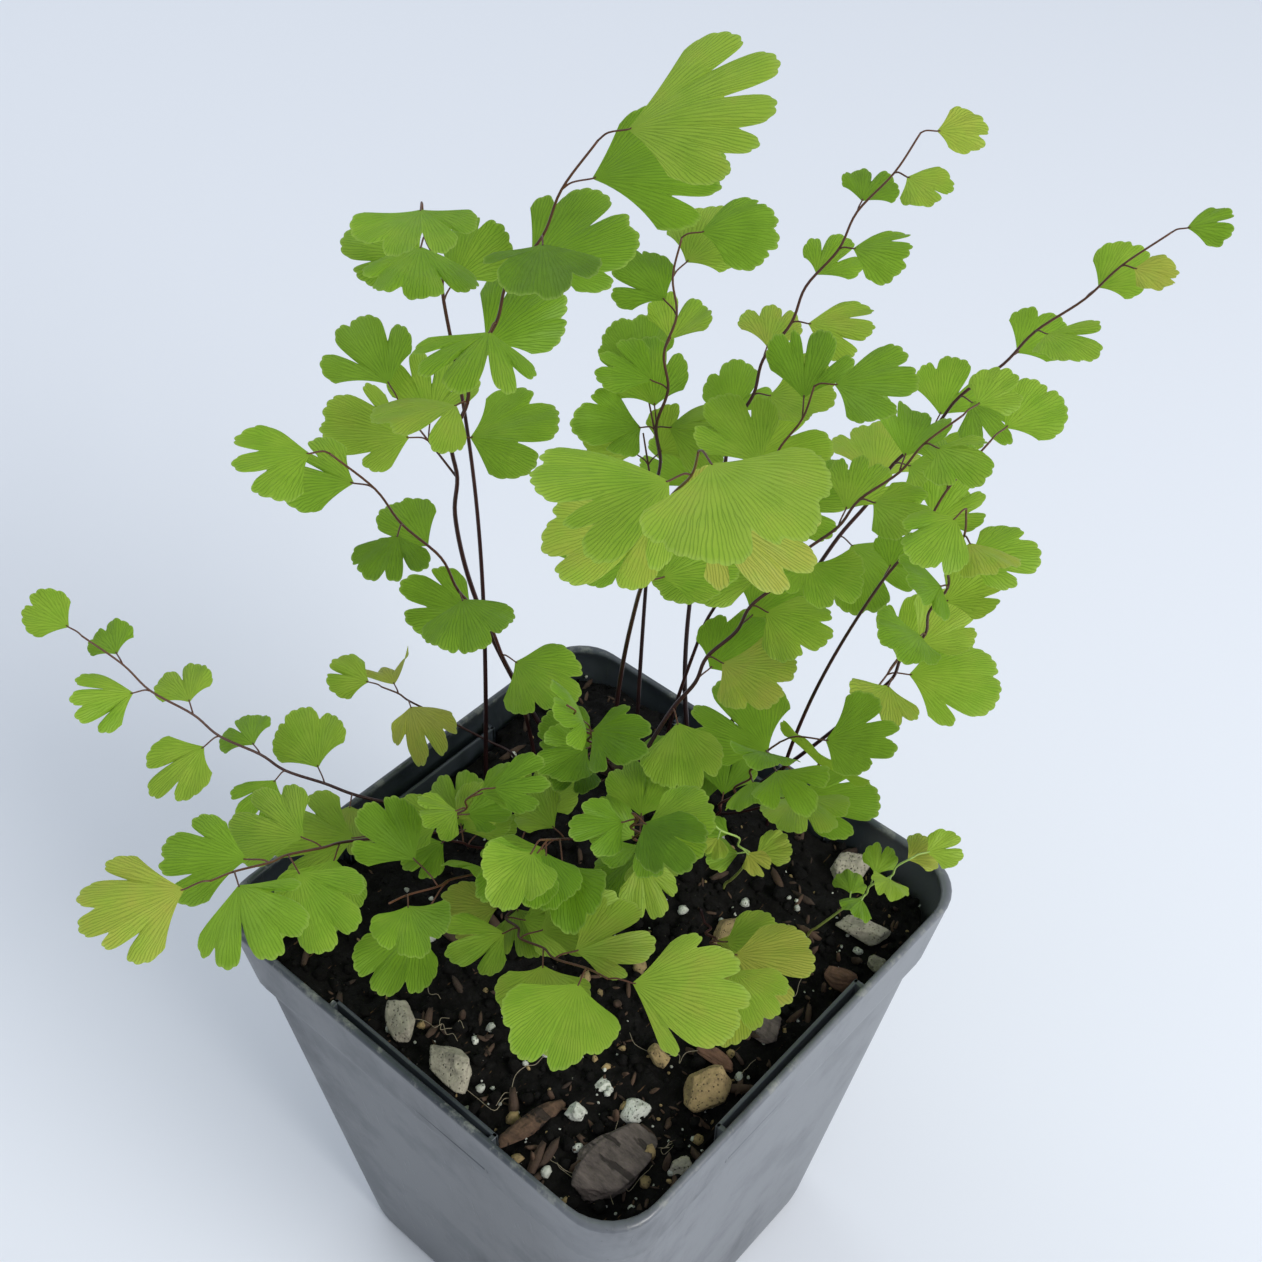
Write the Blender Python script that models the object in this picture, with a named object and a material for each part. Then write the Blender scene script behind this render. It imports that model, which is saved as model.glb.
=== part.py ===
"""A young maidenhair fern in a square plastic nursery pot: the pot, its soil, the crown, one object for each
frond, and the stones, bark and perlite on the soil. Lengths are in millimetres and are scaled to metres at the end
of each shape. The pot's sides lie along X and Y, its base rests on z = 0, and one of its corners faces the viewer."""

import math

import bmesh
import bpy
import numpy as np
from mathutils import Matrix, Vector, noise

MM = 0.001
POT_HEIGHT = 107.0
POT_SIDE = 100.0
BASE_SIDE = 73.0
WALL = 1.0
CORNER_RADIUS = 10.0
RIM_DEPTH = 17.0
RIM_STEP = 1.2
HOLE_RADIUS = 4.5
POCKET_LENGTH, POCKET_DEPTH, POCKET_TOP = 40.0, 9.0, 4.0
POCKET_SPAN, SLOT_SPAN = (0.6, 3.5), (1.0, 2.7)
SOIL_DROP = 10.0
FOOT_LIFT = 1.5
GAP = 0.4
PLANT_TURN = math.radians(45)
BLADE_THICKNESS = 0.5
STALK_RADIUS = 0.4
STEM_RADIUS, TIP_RADIUS = 0.85, 0.45
TOWARDS_LIGHT = np.array([-0.05, -0.45, 0.9]) / np.linalg.norm([-0.05, -0.45, 0.9])

# How the fronds grow: the crown they clear, the lowest that a leaf hangs, the rachis's turns, a twig's length as a
# part of its frond's, the cells that keep fronds apart, the ways that a leaf may turn, tilt and reach and a stem may
# sway to be clear, then the stalks, the angles between leaves in degrees, and how much widths vary.
CROWN_SPOT, CROWN_REACH, CROWN_TOP = (9, 30), (14, 9), 5.0
LOWEST_LEAF = 2.5
ZIGZAG = 0.7
TWIG_SHARE = 0.11
SAMPLE_GAP = 1.0
ROOM_CORNER, ROOM_SIZE = np.array([-115, -95, -20]), (240, 230, 190)
CLEARANCE, OWN_CLEARANCE = 2, 1
OWN_BLADES = 1 << 30
TURNS, TILTS, REACHES = (0, 25, -25, 50, -50, 80, -80, 120, -120), (0, 20, -20, 40), (1, 1.8, 2.8)
SWAYS = (0, 3, -3, 6, -6, 9, -9)
STIPE_POINTS = 5
STALK, STALK_BY_WIDTH = 1.2, 0.16
LOWEST_RISE, HIGHEST_RISE = -40, 60
SPREAD, CLOSING, STRAY = 80, 40, 10
CLIMB_SHARE = 0.3
WIDTH_RANGE = (0.85, 1.15)
TWIG_FAN, TWIG_LIFT = 60, 15
SEED = 23

# The fronds, in the plant's own frame: x to the viewer's right, y away from the viewer's corner of the pot, and z
# up from the rim. Each is grown from where it is rooted, where its tip is, how it arches, how far its middle bows
# along x and y, the bare share of its stem, how many leaves or twigs it bears, and its first and last leaf's width.
# Where twigs is given, that many of the lowest are twigs. Where hand is 1, the first leaf is on the other side.
FRONDS = {
    "frond_tall_left": dict(root=(-5, 35), tip=(0, 20, 140), arch=0.4, bow=(-20, 5), bare=0.45, leaves=10,
                            widths=(14, 21), twigs=2),
    "frond_upper_left": dict(root=(-20, 35), tip=(-25, 30, 125), arch=0, bow=(0, 5), bare=0.85, leaves=4,
                             widths=(12, 18)),
    "frond_spotted_arc": dict(root=(-10, 30), tip=(-40, 10, 95), arch=0.8, bow=(0, 0), bare=0.4, leaves=7,
                              widths=(14, 13)),
    "frond_far_left": dict(root=(-15, 25), tip=(-90, 30, 40), arch=-0.8, bow=(0, -5), bare=0.4, leaves=9,
                           widths=(13, 10)),
    "frond_low_left": dict(root=(-10, 20), tip=(-60, -30, 45), arch=-0.2, bow=(-5, 5), bare=0.4, leaves=8,
                           widths=(16, 17), twigs=1),
    "frond_centre_thin": dict(root=(10, 35), tip=(15, 45, 110), arch=0.2, bow=(0, 5), bare=0.5, leaves=8,
                              widths=(13, 12), twigs=2),
    "frond_tall_right": dict(root=(20, 35), tip=(55, 60, 120), arch=0.6, bow=(-5, 10), bare=0.4, leaves=11,
                             widths=(17, 9)),
    "frond_far_right": dict(root=(25, 30), tip=(95, 45, 110), arch=0.2, bow=(0, 15), bare=0.4, leaves=10,
                            widths=(18, 7), hand=1),
    "frond_front_main": dict(root=(0, 5), tip=(55, 10, 100), arch=0.5, bow=(0, 5), bare=0.4, leaves=12,
                             widths=(16, 10), hand=1),
    "frond_right": dict(root=(30, 25), tip=(55, 0, 90), arch=0, bow=(10, 0), bare=0.4, leaves=9, widths=(15, 10),
                        twigs=1),
    "frond_right_thin": dict(root=(35, 20), tip=(60, 10, 95), arch=0, bow=(0, 5), bare=0.7, leaves=4,
                             widths=(10, 13)),
    "frond_over_rim": dict(root=(25, 20), tip=(40, 5, 30), arch=0, bow=(5, 0), bare=0.5, leaves=5, widths=(15, 18)),
    "young_frond_right": dict(root=(40, -5), tip=(55, -10, 20), arch=0, bow=(0, 0), bare=0.4, leaves=6,
                              widths=(6, 8)),
    "pale_sprig": dict(root=(25, 5), tip=(20, -5, 25), arch=0, bow=(5, 0), bare=0.4, leaves=6, widths=(6, 5)),
    "frond_near_centre": dict(root=(5, 30), tip=(10, -30, 125), arch=0.5, bow=(0, 0), bare=0.55, leaves=7,
                              widths=(12, 22)),
    "frond_back_right": dict(root=(15, 30), tip=(35, 25, 95), arch=0.3, bow=(0, 0), bare=0.4, leaves=9,
                             widths=(12, 15), hand=1),
    "low_frond_left": dict(root=(-15, 15), tip=(-20, -5, 35), arch=0, bow=(-5, 0), bare=0.3, leaves=10,
                           widths=(10, 9)),
    "low_frond_front": dict(root=(-10, 10), tip=(0, -40, 30), arch=-0.1, bow=(-10, 0), bare=0.25, leaves=9,
                            widths=(10, 18)),
    "low_frond_centre": dict(root=(10, 15), tip=(5, -15, 40), arch=0, bow=(0, -5), bare=0.25, leaves=11,
                             widths=(11, 12)),
    "low_frond_right": dict(root=(20, 0), tip=(20, -30, 20), arch=-0.2, bow=(0, 0), bare=0.2, leaves=9,
                            widths=(9, 14)),
    "frond_inner_left": dict(root=(5, 25), tip=(-5, 0, 50), arch=0, bow=(0, 0), bare=0.2, leaves=11, widths=(12, 13)),
    "frond_inner_right": dict(root=(20, 15), tip=(30, -5, 45), arch=0, bow=(0, 0), bare=0.2, leaves=10,
                              widths=(11, 13), hand=1),
    "low_frond_near_left": dict(root=(-5, 10), tip=(-35, -20, 25), arch=0.1, bow=(0, 0), bare=0.25, leaves=10,
                                widths=(11, 14)),
    "low_frond_middle": dict(root=(0, 15), tip=(-10, -20, 40), arch=0, bow=(0, 0), bare=0.3, leaves=9,
                             widths=(10, 13), hand=1),
    "withered_frond": dict(root=(-15, 40), tip=(-40, 45, 10), arch=0, bow=(0, 0), bare=0.8, leaves=3,
                           widths=(13, 10)),
}

# A leaflet's outline as parts of its width: across, then along its axis from the base.
BLADE_OUTLINE = ((0, -0.04), (0.3, 0.2), (0.5, 0.5), (0.42, 0.8), (0.16, 0.9), (-0.16, 0.9), (-0.42, 0.8),
                 (-0.5, 0.5), (-0.3, 0.2))

# Loose pieces on the soil, in the plant's frame: x, y, length, width, height, turn in degrees, corners.
LOOSE = {
    "tan_stone": (18, -37, 11, 8, 7, 50, 26),
    "grey_bark_slab": (0, -50, 19, 10, 4, 40, 18),
    "long_bark_chip": (-13, -42, 15, 4, 3, 30, 14),
    "pale_stone_left": (-35, -20, 9, 6, 5, 100, 22),
    "pale_stone_front": (-26, -30, 11, 7, 5, 130, 22),
    "round_pale_stone": (5, -40, 6, 5, 4, 10, 20),
    "perlite_front": (0, -35, 4, 4, 3, 0, 14),
    "perlite_low": (-5, -40, 4, 4, 4, 60, 14),
    "tan_pebble": (10, -30, 5, 4, 4, 90, 18),
    "reddish_chip": (20, -30, 8, 3, 3, 140, 12),
    "perlite_corner": (12, -51, 4, 4, 4, 20, 14),
    "pale_stone_right": (50, 10, 8, 7, 5, 30, 20),
    "long_pale_stone": (50, -5, 10, 6, 5, 150, 20),
    "small_pale_stone": (35, -10, 6, 5, 4, 0, 18),
    "red_brown_stone": (45, -15, 7, 5, 4, 150, 20),
    "rim_pale_stone": (52, -12, 4, 4, 3, 70, 16),
    "pinkish_stone": (25, -5, 9, 7, 4, 10, 20),
    "brown_stone": (30, -25, 8, 5, 4, 70, 18),
}
LOOSE_LIFT = 0.7


def clear_scene():
    for obj in list(bpy.data.objects):
        bpy.data.objects.remove(obj, do_unlink=True)


def material(name, colour, roughness):
    made = bpy.data.materials.new(name)
    made.use_nodes = True
    shader = made.node_tree.nodes["Principled BSDF"]
    shader.inputs["Base Color"].default_value = (*colour, 1)
    shader.inputs["Roughness"].default_value = roughness
    return made


def add_object(name, bm, look=None, parent=None, collection=None):
    """An object from a bmesh in millimetres. With a collection it is a hidden helper."""
    bmesh.ops.recalc_face_normals(bm, faces=bm.faces)
    if bm.calc_volume(signed=True) < 0:
        bmesh.ops.reverse_faces(bm, faces=bm.faces)
    bm.transform(Matrix.Scale(MM, 4))
    mesh = bpy.data.meshes.new(name)
    bm.to_mesh(mesh)
    bm.free()
    obj = bpy.data.objects.new(name, mesh)
    (collection or bpy.context.scene.collection).objects.link(obj)
    if look:
        mesh.materials.append(look)
    if collection:
        obj.hide_render = True
        obj.display_type = "WIRE"
    obj.parent = parent
    return obj


def helper_collection(name):
    made = bpy.data.collections.new(name)
    bpy.context.scene.collection.children.link(made)
    return made


def boolean(obj, operation, helpers):
    cut = obj.modifiers.new(operation.title(), "BOOLEAN")
    cut.operation = operation
    cut.operand_type = "COLLECTION"
    cut.collection = helpers
    cut.solver = "EXACT"


def rounded_square(side, radius, z, steps=3):
    """The points of a square with round corners, anticlockwise from the +X side's upper end."""
    middle = side / 2 - radius
    points = []
    for corner in range(4):
        turn = math.pi / 2 * corner
        centre = Matrix.Rotation(turn, 2) @ Vector((middle, middle))
        for step in range(steps + 1):
            angle = turn + math.pi / 2 * step / steps
            points.append((centre.x + radius * math.cos(angle), centre.y + radius * math.sin(angle), z))
    return points


def loft(bm, rings, closed=False):
    """Walls between rings of the same number of points, with flat ends unless the rings form a loop."""
    rows = [[bm.verts.new(point) for point in ring] for ring in rings]
    pairs = list(zip(rows, rows[1:] + rows[:1])) if closed else list(zip(rows, rows[1:]))
    for low, high in pairs:
        for i in range(len(low)):
            j = (i + 1) % len(low)
            bm.faces.new((low[i], low[j], high[j], high[i]))
    if not closed:
        bm.faces.new(rows[0])
        bm.faces.new(rows[-1])


def side_at(z):
    """The outside width of the tapered wall, below the rim band."""
    top = POT_SIDE - 2 * RIM_STEP
    return BASE_SIDE + (top - BASE_SIDE) * z / POT_HEIGHT


def box(bm, size, centre):
    bmesh.ops.create_cube(bm, size=1, matrix=Matrix.Translation(centre) @ Matrix.Diagonal((*size, 1)))


def add_pot():
    band = POT_HEIGHT - RIM_DEPTH
    flare = POT_SIDE - side_at(POT_HEIGHT)
    rings = [
        rounded_square(side_at(0), CORNER_RADIUS, 0),
        rounded_square(side_at(band), CORNER_RADIUS, band),
        rounded_square(side_at(band) + flare, CORNER_RADIUS, band + 0.8),
        rounded_square(POT_SIDE, CORNER_RADIUS, POT_HEIGHT),
        rounded_square(POT_SIDE - 2 * WALL, CORNER_RADIUS - WALL, POT_HEIGHT),
        rounded_square(side_at(band) + flare - 2 * WALL, CORNER_RADIUS - WALL, band + 0.8),
        rounded_square(side_at(band) - 2 * WALL, CORNER_RADIUS - WALL, band - 0.8),
        rounded_square(side_at(WALL) - 2 * WALL, CORNER_RADIUS - WALL, WALL),
    ]
    bm = bmesh.new()
    loft(bm, rings)
    pot = add_object("pot", bm, material("black_plastic", (0.03, 0.032, 0.036), 0.4))
    boolean(pot, "UNION", pocket_blocks())
    boolean(pot, "DIFFERENCE", pot_cutters())


def pocket_place(side, inward):
    """Turns a point given along, in from the wall and up to one of the four sides."""
    turn = Matrix.Rotation(math.pi / 2 * side, 4, "Z")
    return turn @ Matrix.Translation((0, -(POT_SIDE / 2 - WALL - inward), 0))


def pocket_blocks():
    """A blank for the shallow pocket in the middle of each side, which the cutters then hollow."""
    helpers = helper_collection("pocket_blocks")
    top = POT_HEIGHT - POCKET_TOP
    for side in range(4):
        bm = bmesh.new()
        box(bm, (POCKET_LENGTH, POCKET_SPAN[1] - POCKET_SPAN[0], POCKET_DEPTH), (0, 0, top - POCKET_DEPTH / 2))
        bm.transform(pocket_place(side, sum(POCKET_SPAN) / 2))
        add_object(f"pocket_block_{side}", bm, collection=helpers)
    return helpers


def pot_cutters():
    helpers = helper_collection("pot_cutters")
    top = POT_HEIGHT - POCKET_TOP
    for side in range(4):
        bm = bmesh.new()
        slot = (POCKET_LENGTH - 2 * WALL, SLOT_SPAN[1] - SLOT_SPAN[0], POCKET_DEPTH)
        box(bm, slot, (0, 0, top - POCKET_DEPTH / 2 + WALL))
        bm.transform(pocket_place(side, sum(SLOT_SPAN) / 2))
        add_object(f"pocket_slot_{side}", bm, collection=helpers)
    for corner in range(4):
        spot = Matrix.Rotation(math.pi / 2 * corner, 4, "Z") @ Vector((BASE_SIDE / 3.4, BASE_SIDE / 3.4, WALL / 2))
        bm = bmesh.new()
        bmesh.ops.create_cone(bm, cap_ends=True, segments=16, radius1=HOLE_RADIUS, radius2=HOLE_RADIUS,
                              depth=4 * WALL, matrix=Matrix.Translation(spot))
        add_object(f"drain_hole_{corner}", bm, collection=helpers)
    return helpers


def soil_mound(x, y):
    """The soil's even surface in the plant's frame: below the rim, and mounded round the crown."""
    return -SOIL_DROP + 9 * np.exp(-((x - 9) ** 2 + (y - 30) ** 2) / 800)


def soil_height(x, y):
    return soil_mound(x, y) + 0.8 * noise.noise(Vector((x, y, 0)) / 9)


def add_soil():
    """The root ball: rounded-square rings spread from the middle of its top, then its sides and base."""
    turn = Matrix.Rotation(PLANT_TURN, 2).inverted()
    inset = 2 * (WALL + GAP)
    top_side = side_at(POT_HEIGHT - RIM_DEPTH) + 2 * RIM_STEP - inset
    rings = []
    for share in (0.06, 0.22, 0.4, 0.58, 0.74, 0.88, 1.0):
        ring = rounded_square(top_side * share, (CORNER_RADIUS - WALL) * share, 0, steps=6)
        flat = [turn @ Vector(point[:2]) for point in ring]
        rings.append([(p[0], p[1], POT_HEIGHT + soil_height(q.x, q.y)) for p, q in zip(ring, flat)])
    for z in (POT_HEIGHT - RIM_DEPTH - 2, WALL + GAP):
        rings.append(rounded_square(side_at(z) - inset - 0.2, CORNER_RADIUS - WALL, z, steps=6))
    bm = bmesh.new()
    loft(bm, rings[::-1])
    bmesh.ops.triangulate(bm, faces=bm.faces)
    soil = add_object("soil_plug", bm, material("peat", (0.02, 0.015, 0.011), 0.95))
    boolean(soil, "DIFFERENCE", soil_cutters())


def soil_cutters():
    """Room for the pockets, so that the soil stays clear of the pot."""
    helpers = helper_collection("soil_cutters")
    for side in range(4):
        bm = bmesh.new()
        size = (POCKET_LENGTH + 2 * GAP, 2 * (POCKET_SPAN[1] + GAP), 2 * (POCKET_DEPTH + GAP))
        box(bm, size, (0, 0, POT_HEIGHT - POCKET_TOP))
        bm.transform(pocket_place(side, 0))
        add_object(f"pocket_room_{side}", bm, collection=helpers)
    return helpers


def lump(bm, rng, size, corners, boxy=0.3):
    """A stone or a chip: the hull of points scattered over a rounded box."""
    points = rng.normal(size=(corners, 3))
    points /= np.linalg.norm(points, axis=1, keepdims=True)
    points = np.sign(points) * np.abs(points) ** (1 - boxy)
    points /= np.abs(points).max(axis=0)
    for point in points * np.array(size) / 2:
        bm.verts.new(point)
    hull = bmesh.ops.convex_hull(bm, input=bm.verts)
    loose = [item for item in hull["geom_interior"] if isinstance(item, bmesh.types.BMVert)]
    bmesh.ops.delete(bm, geom=loose, context="VERTS")


def loose_colour(name):
    if "bark" in name or "chip" in name:
        return (0.16, 0.11, 0.085)
    if "perlite" in name:
        return (0.62, 0.62, 0.56)
    return (0.4, 0.31, 0.2)


def add_loose(plant):
    rng = np.random.default_rng(5)
    for name, (x, y, length, width, height, turn, corners) in LOOSE.items():
        bm = bmesh.new()
        lump(bm, rng, (length, width, height), corners)
        bm.transform(Matrix.Rotation(math.radians(turn), 4, "Z"))
        ground = max(soil_height(x + dx, y + dy) for dx in (-4, 0, 4) for dy in (-4, 0, 4))
        bm.transform(Matrix.Translation((x, y, ground + height / 2 + LOOSE_LIFT)))
        add_object(name, bm, material(name, loose_colour(name), 0.8), parent=plant)


def add_crown(plant):
    rng = np.random.default_rng(11)
    bm = bmesh.new()
    lump(bm, rng, (22, 11, 3.4), 40)
    bm.transform(Matrix.Rotation(math.radians(-10), 4, "Z"))
    ground = max(soil_height(9 + dx, 30 + dy) for dx in (-10, 0, 10) for dy in (-5, 0, 5))
    bm.transform(Matrix.Translation((9, 30, ground + 1.7 + LOOSE_LIFT)))
    add_object("crown", bm, material("rhizome", (0.06, 0.035, 0.02), 0.9), parent=plant)


def tube(bm, points, start_radius, end_radius, sides):
    """A round bar along the points, its rings square to the path."""
    points = [Vector(point) for point in points]
    count = len(points) - 1
    along = (points[1] - points[0]).normalized()
    across = along.orthogonal().normalized()
    rings = []
    for i, point in enumerate(points):
        ahead = points[min(i + 1, count)] - points[max(i - 1, 0)]
        turned = along.rotation_difference(ahead)
        across = turned @ across
        along = ahead.normalized()
        up = along.cross(across)
        radius = start_radius + (end_radius - start_radius) * i / count
        angles = [2 * math.pi * k / sides for k in range(sides)]
        rings.append([point + radius * (math.cos(a) * across + math.sin(a) * up) for a in angles])
    loft(bm, rings)


def direction(azimuth, rise):
    """The unit vector at this azimuth and rise in degrees."""
    azimuth, rise = np.radians([azimuth, rise])
    return np.array([np.cos(azimuth) * np.cos(rise), np.sin(azimuth) * np.cos(rise), np.sin(rise)])


def leaflet_axes(azimuth, rise):
    """A blade's axis, its side and its normal, which turns towards the light as far as the axis lets it."""
    axis = direction(azimuth, rise)
    normal = TOWARDS_LIGHT - TOWARDS_LIGHT @ axis * axis
    normal = normal / np.linalg.norm(normal)
    return axis, np.cross(axis, normal), normal


def along_line(start, end):
    """Points a cell apart from one place to another."""
    steps = max(int(np.linalg.norm(end - start) / SAMPLE_GAP) + 1, 2)
    return start + np.linspace(0, 1, steps)[:, None] * (end - start)


def along_stem(stem):
    """Points a cell apart from a stem's foot to its tip."""
    return np.vstack([along_line(low, high) for low, high in zip(stem, stem[1:])])


def over_blade(base, width, azimuth, rise):
    """Points a cell apart over a fan-shaped blade."""
    axis, side, _ = leaflet_axes(azimuth, rise)
    across = np.arange(-width / 2, width / 2 + SAMPLE_GAP, SAMPLE_GAP)
    out = np.arange(-0.05 * width, 0.95 * width + SAMPLE_GAP, SAMPLE_GAP)
    across, out = (values.ravel() for values in np.meshgrid(across, out))
    inside = np.abs(across) <= 1.2 * out + 0.1 * width
    return base + across[inside, None] * side + out[inside, None] * axis


class Room:
    """The millimetre cells that each frond has filled, so that no frond meets another."""

    def __init__(self):
        self.cells = np.zeros(ROOM_SIZE, np.int32)

    def places(self, points):
        return tuple((np.round(points).astype(int) - ROOM_CORNER).T)

    def fill(self, points, bit, clearance):
        x, y, z = self.places(points)
        for dx, dy, dz in np.ndindex(*[2 * clearance + 1] * 3):
            self.cells[x + dx - clearance, y + dy - clearance, z + dz - clearance] |= bit

    def free(self, points, bit):
        return not (self.cells[self.places(points)] & ~bit).any()


def stem_of(root, tip, arch, bow, bare, leaves):
    """The stipe and rachis: a positive arch rises before it leans out, and a negative one leans out before it rises.
    The leafy part turns a little at each leaf."""
    x, y = root
    on_crown = all(abs(a - b) < reach for a, b, reach in zip(root, CROWN_SPOT, CROWN_REACH))
    foot = np.array([x, y, CROWN_TOP if on_crown else soil_mound(x, y) + FOOT_LIFT])
    share = np.concatenate([np.linspace(0, bare, STIPE_POINTS + 1)[:-1], np.linspace(bare, 1, leaves)])
    out, up = share ** (1 + max(arch, 0)), share ** (1 + max(-arch, 0))
    stem = foot + np.column_stack([out, out, up]) * (np.array(tip) - foot)
    stem[:, :2] += np.sin(math.pi * share)[:, None] * bow
    stem[STIPE_POINTS + 1:-1, 0] += ZIGZAG * (-1) ** np.arange(leaves - 2)
    return stem


def leaf_on(room, bit, foot, azimuth, rise, width):
    """A leaf on its stalk, turned, tilted or held further out until it is clear of what has grown already."""
    for reach, tilt, turn in ((r, t, a) for r in REACHES for t in TILTS for a in TURNS):
        facing = azimuth + turn, float(np.clip(rise + tilt, LOWEST_RISE, HIGHEST_RISE))
        base = foot + (STALK + STALK_BY_WIDTH * width) * reach * direction(*facing)
        blade = over_blade(base, width, *facing)
        clear = np.vstack([blade, along_line(foot, base)])
        if clear[:, 2].min() > LOWEST_LEAF and room.free(clear, bit):
            room.fill(clear, bit, CLEARANCE)
            room.fill(blade, OWN_BLADES, OWN_CLEARANCE)
            return (foot, base, *facing, width)
    return None


def grow(frond, stem, room, bit, rng):
    """A frond's twigs and leaves: alternate along the rachis, spread wide at first and closing towards the tip, with
    three leaves on each twig."""
    room.cells &= ~OWN_BLADES
    count, twigs = frond["leaves"], frond.get("twigs", 0)
    branches, leaves = [], []
    for i, spot in enumerate(stem[-count:]):
        share = i / max(count - 1, 1)
        ahead = stem[-1] - stem[-2] if i == count - 1 else stem[len(stem) - count + i + 1] - spot
        heading = math.degrees(math.atan2(ahead[1], ahead[0]))
        climb = math.degrees(math.asin(ahead[2] / np.linalg.norm(ahead)))
        hand = 0 if i == count - 1 else (-1) ** (i + frond.get("hand", 0))
        azimuth = heading + hand * (SPREAD - CLOSING * share) + rng.normal(0, STRAY)
        rise = CLIMB_SHARE * climb + rng.normal(0, STRAY)
        first, last = frond["widths"]
        width = (first + (last - first) * share) * rng.uniform(*WIDTH_RANGE)
        if i < twigs:
            end = spot + TWIG_SHARE * np.linalg.norm(stem[-1] - stem[0]) * direction(azimuth, rise + TWIG_LIFT)
            path = along_line(spot, end)
            if not room.free(path, bit | OWN_BLADES):
                continue
            room.fill(path, bit, CLEARANCE)
            branches.append([spot, end])
            middle = (spot + end) / 2
            grown = [(middle, azimuth + TWIG_FAN), (middle, azimuth - TWIG_FAN), (end, azimuth)]
        else:
            grown = [(spot, azimuth)]
        leaves += [leaf_on(room, bit, foot, facing, rise, width) for foot, facing in grown]
    return branches, [leaf for leaf in leaves if leaf]


def grown_fronds():
    """Every frond's stems and leaves. All the stems take their room first, and then the leaves."""
    room = Room()
    rng = np.random.default_rng(SEED)
    bits = {name: 1 << i for i, name in enumerate(FRONDS)}
    stems = {}
    for name, frond in FRONDS.items():
        for sway in SWAYS:
            bow = np.array(frond["bow"]) + sway
            stems[name] = stem_of(frond["root"], frond["tip"], frond["arch"], bow, frond["bare"], frond["leaves"])
            if room.free(along_stem(stems[name]), bits[name]):
                break
        room.fill(along_stem(stems[name]), bits[name], CLEARANCE)
    fronds = {}
    for name, frond in FRONDS.items():
        branches, leaves = grow(frond, stems[name], room, bits[name], rng)
        fronds[name] = ([stems[name], *branches], leaves)
    return fronds


def add_blade(bm, base, width, axes):
    axis, side, normal = axes
    flat = np.array([base + width * (across * side + along * axis) for across, along in BLADE_OUTLINE])
    loft(bm, [flat + normal * (BLADE_THICKNESS / 2) * sign for sign in (-1, 1)])


def add_frond(name, stems, leaves, look, plant):
    """One frond: its stipe and rachis, with its twigs, stalks and blades joined to them."""
    helpers = helper_collection(f"{name}_parts")
    bm = bmesh.new()
    tube(bm, stems[0], STEM_RADIUS, TIP_RADIUS, 5)
    frond = add_object(name, bm, look, parent=plant)
    for i, twig in enumerate(stems[1:]):
        bm = bmesh.new()
        tube(bm, twig, 0.6, TIP_RADIUS, 4)
        add_object(f"{name}_twig_{i}", bm, parent=plant, collection=helpers)
    for i, (foot, base, azimuth, rise, width) in enumerate(leaves):
        axes = leaflet_axes(azimuth, rise)
        bm = bmesh.new()
        add_blade(bm, base, width, axes)
        add_object(f"{name}_blade_{i}", bm, parent=plant, collection=helpers)
        bm = bmesh.new()
        tube(bm, [foot, base + axes[0] * 1.2], STALK_RADIUS, STALK_RADIUS, 3)
        add_object(f"{name}_stalk_{i}", bm, parent=plant, collection=helpers)
    boolean(frond, "UNION", helpers)


def main():
    clear_scene()
    add_pot()
    add_soil()
    plant = bpy.data.objects.new("plant", None)
    bpy.context.scene.collection.objects.link(plant)
    plant.location = (0, 0, POT_HEIGHT * MM)
    plant.rotation_euler = (0, 0, PLANT_TURN)
    add_crown(plant)
    add_loose(plant)
    for name, (stems, leaves) in grown_fronds().items():
        green = (0.28, 0.26, 0.08) if name == "withered_frond" else (0.2, 0.42, 0.06)
        add_frond(name, stems, leaves, material(name, green, 0.5), plant)


main()
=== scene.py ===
"""A young maidenhair fern in a square plastic nursery pot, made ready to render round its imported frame.

The fern is laid out in the plant's own frame, in millimetres: x to the viewer's right, y away from the
viewer's corner of the pot, z up from the rim. It is turned an eighth of a turn from the pot's sides."""

import math

import bmesh
import bpy
import numpy as np
from mathutils import Matrix, Vector


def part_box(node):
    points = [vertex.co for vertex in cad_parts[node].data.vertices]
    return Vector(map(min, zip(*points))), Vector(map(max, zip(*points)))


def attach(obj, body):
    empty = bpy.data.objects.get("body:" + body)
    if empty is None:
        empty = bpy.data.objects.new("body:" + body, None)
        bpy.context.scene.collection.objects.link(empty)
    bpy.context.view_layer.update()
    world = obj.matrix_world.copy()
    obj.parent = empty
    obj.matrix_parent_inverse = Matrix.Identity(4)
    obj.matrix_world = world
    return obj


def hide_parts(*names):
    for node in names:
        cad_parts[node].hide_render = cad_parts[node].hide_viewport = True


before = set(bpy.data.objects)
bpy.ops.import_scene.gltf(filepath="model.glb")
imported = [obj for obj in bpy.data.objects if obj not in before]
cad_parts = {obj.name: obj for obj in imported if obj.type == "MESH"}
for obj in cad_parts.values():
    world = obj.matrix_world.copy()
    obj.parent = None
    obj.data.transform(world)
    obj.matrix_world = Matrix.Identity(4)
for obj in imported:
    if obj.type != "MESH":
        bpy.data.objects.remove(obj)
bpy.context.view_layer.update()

MM = 0.001
POT_LOW, POT_HIGH = (np.array(corner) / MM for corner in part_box("pot"))
POT_HEIGHT = POT_HIGH[2]
POT_SIDE = POT_HIGH[0] - POT_LOW[0]
BASE_SIDE = 0.73 * POT_SIDE
WALL = 1.0
CORNER_RADIUS = 10.0
RIM_DEPTH = 17.0
RIM_STEP = 1.2
HOLE_RADIUS = 4.5
POCKET_LENGTH, POCKET_DEPTH, POCKET_TOP = 40.0, 9.0, 4.0
POCKET_SPAN, SLOT_SPAN = (0.6, 3.5), (1.0, 2.7)
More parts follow.
